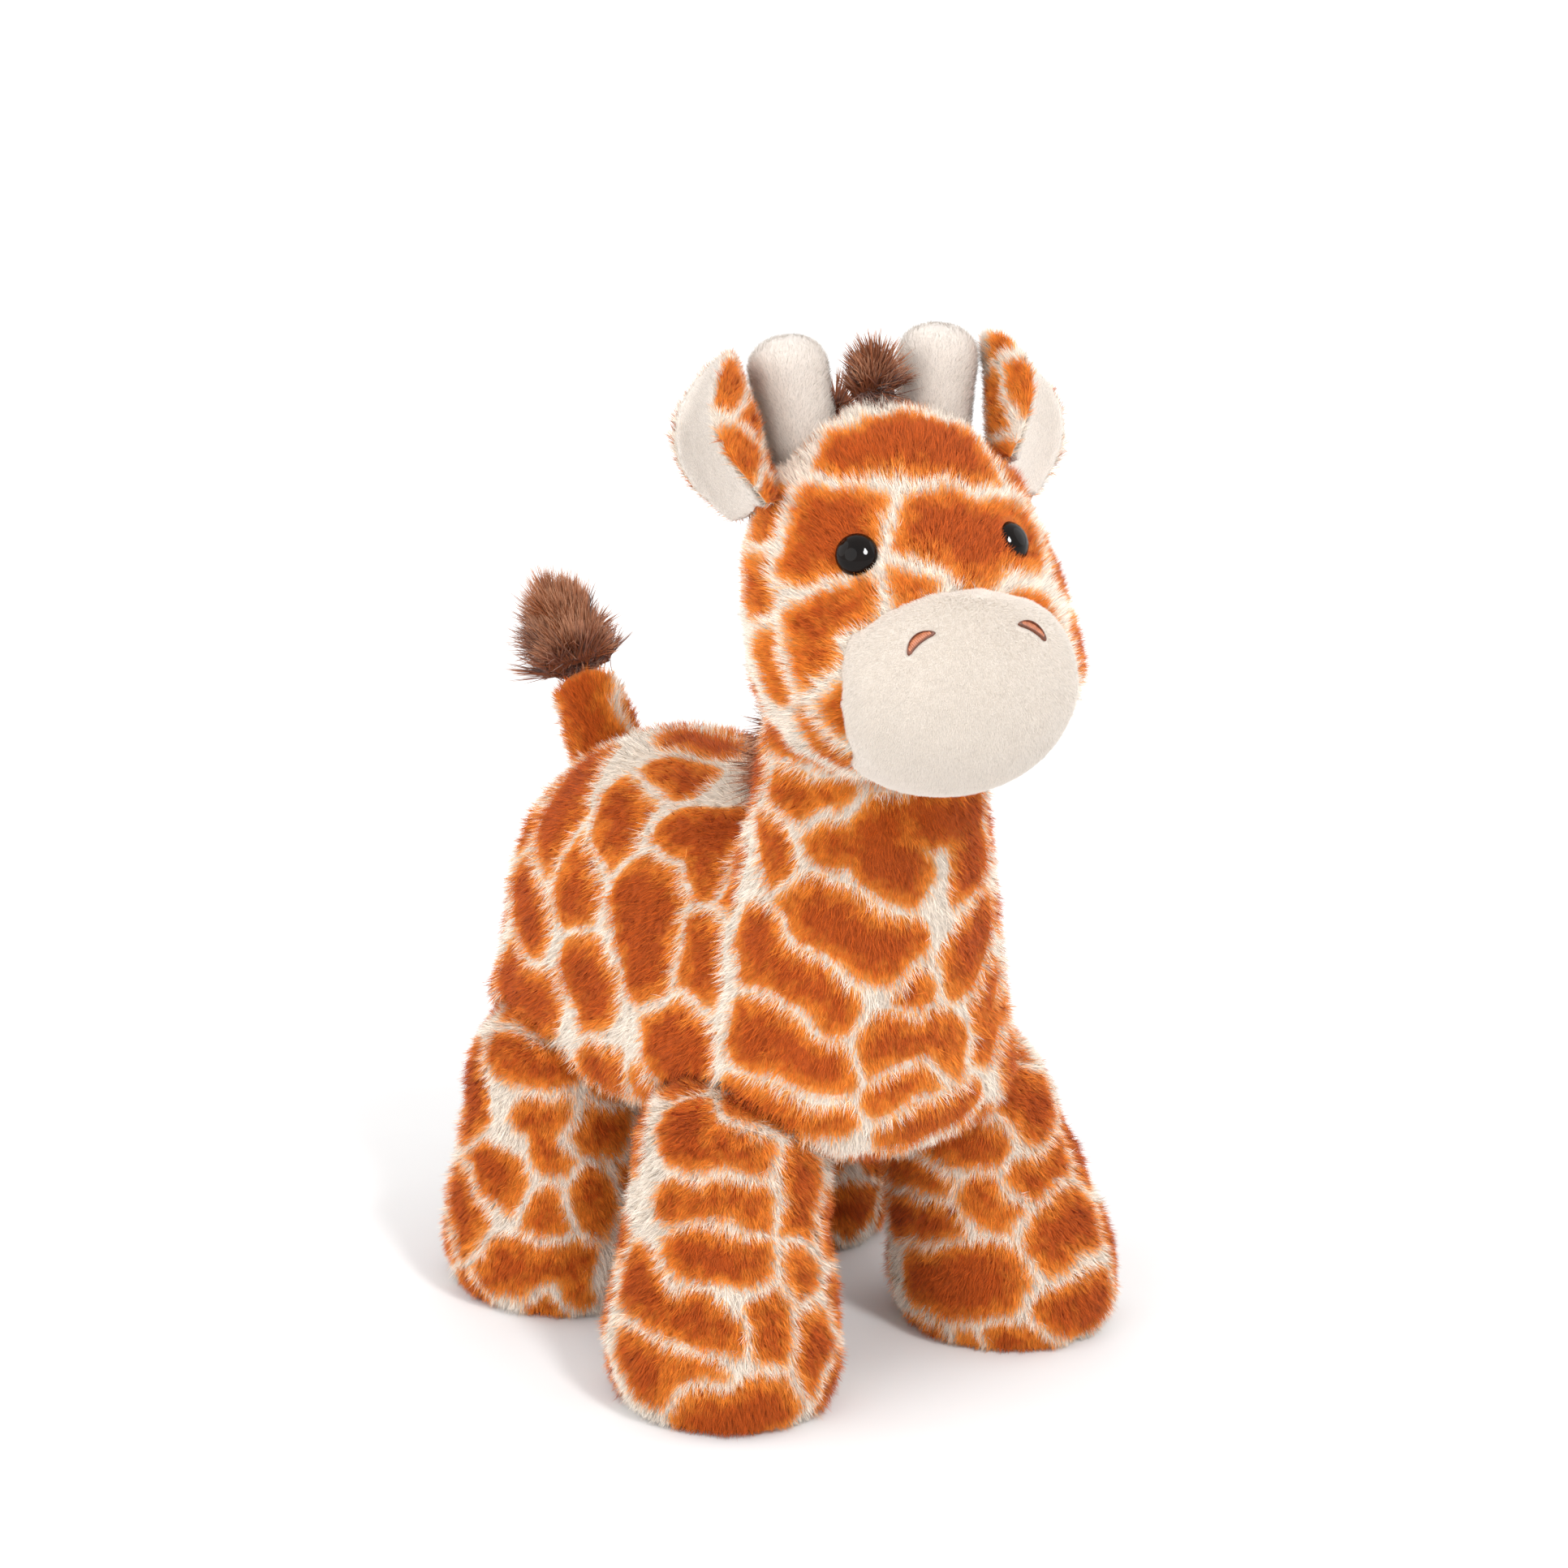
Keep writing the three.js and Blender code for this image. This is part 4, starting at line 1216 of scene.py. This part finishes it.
@dataclass
class Head:
    """The head with its muzzle, forelock and mane."""

    seed: int = 131
    voxel: float = 0.0022
    print_gap: float = 2.4
    snout_voxel: float = 0.0018
    snout_inset: float = 0.0002
    snout_smoothing: int = 14
    hair_voxel: float = 0.0012
    lock_inset: float = 0.003
    mane_inset: float = 0.0012

    def parts(self, frame: dict) -> list[PlushPart]:
        """Lays out the head, whose nap fans out from the muzzle, and what is sewn to it.

        Args:
            frame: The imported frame.

        Returns:
            The stuffed pieces.
        """
        muzzle = Posture.of(frame["nodes"]["muzzle_cover"]).middle
        tint = PatchPrint(gap=self.print_gap)
        head = stuffed("head", "head", "print_plush", voxel=self.voxel)
        snout = stuffed("muzzle", "head", "cream_plush", voxel=self.snout_voxel, inset=self.snout_inset)
        snout.smoothing = self.snout_smoothing
        lock = hair("forelock", "head", self.hair_voxel, self.lock_inset)
        mane = hair("head_mane", "head", self.hair_voxel, self.mane_inset)
        return [
            PlushPart(head, PRINT, PLUSH, away_from(muzzle), self.seed, tint=tint),
            PlushPart(snout, CREAM, NAP, towards(0, 0.35, -1), self.seed + 1),
            PlushPart(lock, BROWN, LOCK, towards(0, 0.1, 1), self.seed + 2),
            PlushPart(mane, BROWN, LONG, towards(0, 0.5, -1), self.seed + 3),
        ]


@dataclass
class Horn:
    """One blunt cream horn."""

    side: str
    seed: int
    voxel: float = 0.0016
    inset: float = 0.0006

    def parts(self, frame: dict) -> list[PlushPart]:
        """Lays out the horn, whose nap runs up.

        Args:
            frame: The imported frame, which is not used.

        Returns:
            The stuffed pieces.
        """
        name = f"horn_{self.side}"
        skin = stuffed(name, name, "cream_plush", voxel=self.voxel, inset=self.inset)
        # Painted light: the horn wears the lighter copy of the cream plush.
        return [PlushPart(skin, PAINTED_LIGHT_CREAM, FUZZ, towards(0, 0, 1), self.seed)]


@dataclass
class Ear:
    """One ear: a printed leaf and its cream lining."""

    side: str
    seed: int
    voxel: float = 0.0009
    inset: float = 0.0002
    smoothing: int = 3
    puff: float = 0.0002
    fill: float = 0.2
    turned: float = -0.7
    blotch: float = 4.5

    def parts(self, frame: dict) -> list[PlushPart]:
        """Lays out the two layers, whose naps run up the ear.

        Args:
            frame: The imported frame.

        Returns:
            The stuffed pieces.
        """
        name = f"ear_{self.side}"
        rise = Posture.of(frame["nodes"][f"{name}_back"]).axes[0]
        rise = rise * np.sign(rise[2])
        leaf = Skin(f"{name}_back_skin", name, f"{name}_back", "print_plush", (), self.voxel, self.inset)
        leaf.smoothing, leaf.puff, leaf.fill = self.smoothing, self.puff, self.fill
        lining = replace(leaf, name=f"{name}_lining_skin", cover=f"{name}_lining", slot="cream_plush")
        printed = PlushPart(leaf, PRINT, LEAF, towards(*rise), self.seed, self.turned, self.blotch)
        printed.lining = lining
        # Painted light: the lining wears the lighter copy of the cream plush.
        return [printed, PlushPart(lining, PAINTED_LIGHT_CREAM, NAP, towards(*rise), self.seed + 1)]


@dataclass
class Eye:
    """One domed safety eye on its stem."""

    side: str
    deep: float = 0.0
    ledge: float = 0.0005
    sunk: float = 0.78
    brim: float = 0.97
    rounds: int = 48
    arcs: int = 14
    obj: Object | None = None

    def build(self, frame: dict) -> None:
        """Turns the dome and its stem from one profile, in the place and size of the solid.

        Args:
            frame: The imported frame.
        """
        node = frame["nodes"][f"eye_{self.side}"]
        posture, places = Posture.of(node), Surface.of(node.data).points
        axis = posture.axes[0]
        along = (places - posture.middle) @ axis
        across = np.linalg.norm(places - posture.middle - along[:, None] * axis, axis=1)
        radius = across.max()
        widest = across > self.brim * radius
        if along[widest].mean() < 0:
            axis, along = -axis, -along
        rim = along[widest].mean()
        dome, depth = (along.max() - rim) * self.sunk, rim - along.min()
        stem = across[along < rim - depth / 2].max()
        arc = [(radius * math.cos(a), dome * math.sin(a)) for a in np.linspace(math.pi / 2, 0, self.arcs)]
        back = [(radius - self.ledge, -self.ledge), (stem, -self.ledge), (stem, -depth), (0, -depth)]
        bm = bmesh.new()
        verts = [bm.verts.new((x, 0, z)) for x, z in arc + back]
        edges = [bm.edges.new(pair) for pair in zip(verts, verts[1:])]
        turn_round(bm, verts + edges, (0, 0, 1), self.rounds)
        bmesh.ops.remove_doubles(bm, verts=bm.verts, dist=WELD)
        bmesh.ops.recalc_face_normals(bm, faces=bm.faces)
        turn = Vector((0, 0, 1)).rotation_difference(Vector(axis)).to_matrix().to_4x4()
        bm.transform(Matrix.Translation(posture.middle + axis * (rim - self.deep)) @ turn)
        name = f"eye_{self.side}_dome"
        self.obj = add_object(name, baked(bm, name))
        self.obj.data.shade_smooth()
        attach(self.obj, "head")
        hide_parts(f"eye_{self.side}")

    def dress(self) -> None:
        """Gives the eye its gloss."""
        dress(self.obj, EYE.material())
        log.info("eye_%s: %d faces", self.side, len(self.obj.data.polygons))


@dataclass
class Nostril:
    """One nostril of satin stitches inside a corded edge, in millimetres."""

    side: str
    muzzle: Skin
    stitches: int = 13
    thread: float = 0.3
    cord: float = 0.45
    arch: float = 0.55
    slim: float = 0.52
    bend: float = 1.1
    reach: float = 0.93
    overlap: float = 0.25
    sides: int = 7
    cord_sides: int = 8
    rounds: int = 36
    probe: float = 10
    weld: float = 0.0001
    length: float = 0.0
    width: float = 0.0
    down: float = 1.0
    obj: Object | None = None

    def seat(self, frame: dict) -> Matrix:
        """Takes the size and place of the solid on the muzzle.

        Args:
            frame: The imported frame.

        Returns:
            The place, with Y outwards and X along the nostril.
        """
        posture = Posture.of(frame["nodes"][f"nostril_{self.side}"])
        muzzle = Posture.of(frame["nodes"]["muzzle_cover"]).middle
        self.length, self.width = 2 * posture.half[:2] / MM * (1, self.slim)
        along, out = posture.axes[0] * np.sign(posture.axes[0][0]), posture.axes[2]
        out = out * np.sign(out @ (posture.middle - muzzle))
        foot = posture.middle - out * posture.half[2]
        across = np.cross(along, out)
        self.down = -float(np.sign(across[2]))
        turn = Matrix(np.stack([along, out, across], 1)).to_4x4()
        return Matrix.Translation(foot) @ turn @ Matrix.Scale(MM, 4)

    def lay(self, bm: BMesh, seat: Matrix) -> None:
        """Bends the flat nostril down to the muzzle's round skin.

        Args:
            bm: The nostril, in millimetres.
            seat: Its place on the muzzle.
        """
        tree = self.muzzle.surface.tree
        out = seat.to_3x3().col[1].normalized()
        for vert in bm.verts:
            foot = seat @ Vector((vert.co.x, 0, vert.co.z))
            spot = tree.ray_cast(foot + out * (self.probe * MM), -out)[0]
            if spot:
                vert.co.y += (spot - foot).dot(out) / MM

    @staticmethod
    def ring(bm: BMesh, sides: int, radius: float, place: Vector, tilt: float = 0.0) -> list:
        """Adds the round section of a thread.

        Args:
            bm: Mesh that gets the section.
            sides: How many sides it has.
            radius: The thread's radius.
            place: Middle of the section.
            tilt: Angle that it is turned by about X.

        Returns:
            The section's points and edges.
        """
        verts = bmesh.ops.create_circle(bm, segments=sides, radius=radius)["verts"]
        bmesh.ops.rotate(bm, verts=verts, cent=(0, 0, 0), matrix=Matrix.Rotation(tilt, 3, "X"))
        bmesh.ops.translate(bm, verts=verts, vec=place)
        return verts + list(dict.fromkeys(edge for vert in verts for edge in vert.link_edges))

    def arc(self, bm: BMesh, shift: float, half: float) -> None:
        """Adds one stitch, an arch of thread across the nostril.

        Args:
            bm: Mesh that gets the stitch.
            shift: Place along the nostril.
            half: Half of the stitch's length.
        """
        reach = (half**2 + self.arch**2) / (2 * self.arch)
        angle = 2 * math.asin(min(1, half / reach))
        centre = Vector((shift, self.arch - reach, 0))
        start = centre + Vector((0, reach * math.cos(angle / 2), -reach * math.sin(angle / 2)))
        ring = self.ring(bm, self.sides, self.thread, start, angle / 2)
        bmesh.ops.spin(bm, geom=ring, cent=centre, axis=(1, 0, 0), angle=angle, steps=self.sides)

    def build(self, frame: dict) -> None:
        """Stitches the nostril and lays a cord round it.

        Args:
            frame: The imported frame.
        """
        seat = self.seat(frame)
        bm = bmesh.new()
        long, short = self.length / 2 - self.cord, self.width / 2 - self.thread
        for shift in np.linspace(-long * self.reach, long * self.reach, self.stitches):
            self.arc(bm, float(shift), short * math.sqrt(1 - (shift / long) ** 2) + self.overlap)
        bmesh.ops.holes_fill(bm, edges=[edge for edge in bm.edges if edge.is_boundary])
        sewn = set(bm.faces)
        ring = self.ring(bm, self.cord_sides, self.cord, Vector((self.length / 2, self.cord, 0)))
        turn_round(bm, ring, (0, 1, 0), self.rounds)
        cord = [face for face in bm.faces if face not in sewn]
        for face in cord:
            face.material_index = 1
        rim = list({vert for face in cord for vert in face.verts})
        bmesh.ops.scale(bm, verts=rim, vec=(1, 1, self.width / self.length))
        bmesh.ops.remove_doubles(bm, verts=bm.verts, dist=self.weld)
        bmesh.ops.recalc_face_normals(bm, faces=bm.faces)
        for vert in bm.verts:
            vert.co.z += self.bend * ((vert.co.x * 2 / self.length) ** 2 - 0.5) * self.down
        self.lay(bm, seat)
        bm.transform(seat)
        name = f"nostril_{self.side}_stitches"
        self.obj = add_object(name, baked(bm, name))
        self.obj.data.shade_smooth()
        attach(self.obj, "head")
        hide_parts(f"nostril_{self.side}")

    def dress(self) -> None:
        """Gives the stitches and the cord their threads."""
        self.obj.data.materials.append(THREAD.material())
        self.obj.data.materials.append(EDGE_THREAD.material())
        log.info("nostril_%s: %d faces", self.side, len(self.obj.data.polygons))


@dataclass(frozen=True)
class Lamp:
    """A broad far light: the direction that it shines from, how wide it looks in degrees and its power."""

    place: Triple
    spread: float
    strength: float


LAMPS = {
    "key": Lamp((-0.05, -1.1, 1.3), 9, 1.25),
    "near fill": Lamp((-1.6, -0.4, 0.9), 50, 0.7),
    "far fill": Lamp((1.6, -0.5, 0.9), 50, 0.4),
    "back fill": Lamp((-1.2, 1.0, 1.0), 50, 0.5),
}


@dataclass
class Studio:
    """A pale floor, soft lights and the camera of the photograph.

    The camera's angles are in degrees, and its focal length is in pixels.
    """

    azimuth: float = -35.7
    elevation: float = 17.0
    distance: float = 1.266
    target: Triple = (-0.0073, -0.010746, 0.1427)
    focal: float = 6420
    sensor: float = 36
    sight: float = 50
    least_slope: float = 0.25
    most_spread: float = 1.5
    glint_place: Triple = (-0.1, -1.04, 0.91)
    glint_size: float = 0.42
    glint_power: float = 28
    floor_half: float = 20
    paper: Span = (0.84, 0.86)
    paper_scale: float = 40
    paper_rough: float = 0.95

    def eye(self) -> Vector:
        """Works out where the photograph was taken from.

        Returns:
            The camera's place.
        """
        az, el = math.radians(self.azimuth), math.radians(self.elevation)
        back = Vector((math.sin(az) * math.cos(el), -math.cos(az) * math.cos(el), math.sin(el)))
        return Vector(self.target) + back * self.distance

    def ray(self, x: float, y: float) -> Vector:
        """Gives the direction that the camera looks in through a pixel of the photograph.

        Args:
            x: Pixel column.
            y: Pixel row.

        Returns:
            The direction.
        """
        ahead = (Vector(self.target) - self.eye()).normalized()
        right = ahead.cross(Vector((0, 0, 1))).normalized()
        rise = right.cross(ahead)
        across, down = [(pixel - IMAGE / 2) / self.focal for pixel in (x, y)]
        return (ahead + right * across - rise * down).normalized()

    def trace(self, trees: list[BVHTree]) -> list[Blotch]:
        """Carries the marks on the photograph over to the skins that show there.

        Args:
            trees: Search trees of the skins.

        Returns:
            The blotches of the print, in millimetres.
        """
        blotches = []
        for name, dabs in MARKS.items():
            strokes = []
            for x0, y0, x1, y1, radius in dabs:
                ends = [end for end in (self.strike(trees, x0, y0), self.strike(trees, x1, y1)) if end]
                if ends:
                    size = radius * min(scale for _, scale in ends)
                    strokes.append((*ends[0][0], *ends[-1][0], size))
            if strokes:
                blotches.append(tuple(strokes))
            else:
                log.info("print: the patch %s lies beside the toy", name)
        return blotches

    def strike(self, trees: list[BVHTree], x: float, y: float) -> tuple[Vector, float] | None:
        """Gives the place that shows at a pixel and the size of a pixel there, in millimetres.

        Args:
            trees: Search trees of the skins.
            x: Pixel column.
            y: Pixel row.

        Returns:
            The place and the size, or None beside the toy.
        """
        way = self.ray(x, y)
        hits = [tree.ray_cast(self.eye(), way) for tree in trees]
        hits = [hit for hit in hits if hit[0] is not None]
        if not hits:
            return None
        spot, normal, _, gap = min(hits, key=lambda hit: hit[3])
        slope = max(self.least_slope, -normal.dot(way))
        return spot / MM, gap / self.focal / MM * min(self.most_spread, slope**-0.5)

    def aim(self, obj: Object, place: Vector) -> None:
        """Sets an object at a place, looking at the toy."""
        obj.location = place
        obj.rotation_euler = (Vector(self.target) - place).to_track_quat("-Z", "Y").to_euler()

    def camera(self) -> None:
        """Makes the camera."""
        data = bpy.data.cameras.new("camera")
        data.lens, data.sensor_width = self.sensor * self.focal / IMAGE, self.sensor
        data.clip_end = self.sight
        bpy.context.scene.camera = add_object("camera", data)
        self.aim(bpy.context.scene.camera, self.eye())

    def hang(self, name: str, data: Light, place: Vector) -> Object:
        """Hangs a light that looks at the toy.

        Args:
            name: Name of the light.
            data: The light.
            place: Where it hangs.

        Returns:
            The hung light.
        """
        obj = add_object(name, data)
        self.aim(obj, place)
        return obj

    def lights(self) -> None:
        """Hangs the broad lamps, and a small one that shows only as the sparkle of glossy things."""
        for name, lamp in LAMPS.items():
            data = bpy.data.lights.new(name, "SUN")
            data.angle, data.energy = math.radians(lamp.spread), lamp.strength
            self.hang(name, data, Vector(lamp.place))
        data = bpy.data.lights.new("glint", "AREA")
        data.shape, data.size, data.energy = "DISK", self.glint_size, self.glint_power
        glint = self.hang("glint", data, Vector(self.glint_place))
        glint.visible_diffuse = glint.visible_camera = False

    def floor(self) -> None:
        """Lays the pale floor."""
        bm = bmesh.new()
        bmesh.ops.create_grid(bm, x_segments=1, y_segments=1, size=self.floor_half)
        obj = add_object("floor", baked(bm, "floor"))
        dress(obj, once("floor_paper", self.paper_shader))

    def paper_shader(self, graph: Graph) -> Node:
        """Adds the nodes of the floor's paper.

        Args:
            graph: The material's nodes.

        Returns:
            The shader.
        """
        low, high = [(tone, tone, tone, 1.0) for tone in self.paper]
        return graph.add("BsdfPrincipled", {
            "Base Color": graph.blend(graph.noise(self.paper_scale), low, high),
            "Roughness": self.paper_rough, "Specular IOR Level": 0.0,
        })

    def sky(self) -> None:
        """Lights the scene evenly and shows white behind the toy."""
        world = bpy.data.worlds.new("studio")
        bpy.context.scene.world = world
        world.use_nodes = True
        background = world.node_tree.nodes["Background"]
        background.inputs["Color"].default_value = (1, 1, 1, 1)
        background.inputs["Strength"].default_value = 1.0

    def build(self) -> None:
        """Sets the studio up."""
        bpy.context.scene.view_settings.view_transform = "Standard"
        self.camera()
        self.floor()
        self.sky()
        self.lights()


def puff(skins: list[Skin]) -> None:
    """Lets the filling's pressure round all the skins at once.

    Args:
        skins: All the skins.
    """
    for skin in skins:
        skin.load_cloth()
    for step in range(1, CLOTH_STEPS + 1):
        bpy.context.scene.frame_set(step)
    for skin in skins:
        skin.unload_cloth()
    bpy.context.scene.frame_set(1)


def bare_places(part: PlushPart, trees: list[BVHTree], eye: Vector) -> Array:
    """Picks places of a skin that the photograph doesn't show.

    Args:
        part: Piece whose skin is searched.
        trees: Search trees of all the skins.
        eye: Where the photograph was taken from.

    Returns:
        Places, one a row.
    """
    surface = part.skin.surface
    rng = np.random.default_rng(part.seed)
    picked = rng.permutation(len(surface.points))[:HIDDEN_PICKS]
    views = unit(np.array(eye) - surface.points[picked])
    facing = (views * surface.normals[picked]).sum(1)
    kept = []
    for index, view, front in zip(picked, views, facing):
        start = Vector(surface.points[index] + surface.normals[index] * SIGHT_LIFT)
        shown = front > part.turned
        if not shown or any(tree.ray_cast(start, Vector(view))[0] is not None for tree in trees):
            kept.append(surface.points[index])
    return np.array(kept).reshape(-1, 3)


def part_piles(skins: list[Skin], features: list[Object]) -> None:
    """Finds the room that each skin's pile has beside the other skins and the face's hard pieces.

    Args:
        skins: All the skins.
        features: The eyes and the nostrils.
    """
    hard = [Surface.of(feature.data) for feature in features]
    for skin in skins:
        for other in skins:
            if other is not skin:
                mingled = skin.overhangs or other.body == skin.body
                skin.surface.clear_of(other.surface, mingled, 0.0)
        if skin.body == "head":
            for surface in hard:
                skin.surface.clear_of(surface, False, HARD_MARGIN)


def main() -> None:
    """Builds the toy's looks piece by piece."""
    logging.basicConfig(level=logging.INFO, format="%(name)s: %(message)s")
    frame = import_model()
    studio = Studio()
    studio.build()
    pile_shade()
    PrintTint().build()
    legs = [(end, side) for end in ("front", "hind") for side in SIDES]
    assemblies = [Trunk(), Tail(), Head()]
    assemblies += [Leg(end, side, LEG_SEED + number) for number, (end, side) in enumerate(legs)]
    assemblies += [Horn(side, HORN_SEED + number) for number, side in enumerate(SIDES)]
    assemblies += [Ear(side, EAR_SEED + 2 * number) for number, side in enumerate(SIDES)]
    parts = [part for assembly in assemblies for part in assembly.parts(frame)]
    for part in parts:
        part.build(frame)
    skins = [part.skin for part in parts]
    puff(skins)
    for skin in skins:
        skin.finish()
    muzzle = next(skin for skin in skins if skin.name == "muzzle_skin")
    features = [Eye("right"), Eye("left", deep=FAR_EYE_DEPTH)]
    features += [Nostril(side, muzzle) for side in SIDES]
    for feature in features:
        feature.build(frame)
        feature.dress()
    part_piles(skins, [feature.obj for feature in features])
    trees = [skin.surface.tree for skin in skins]
    blotches = studio.trace(trees)
    for part in parts:
        part.colour(bare_places(part, trees, studio.eye()), blotches)
        part.dress()
    for side in SIDES:
        dress(frame["nodes"][f"eye_washer_{side}"], WASHER.material())
        log.info("eye_washer_%s: moulded finish", side)


if __name__ == "__main__":
    main()
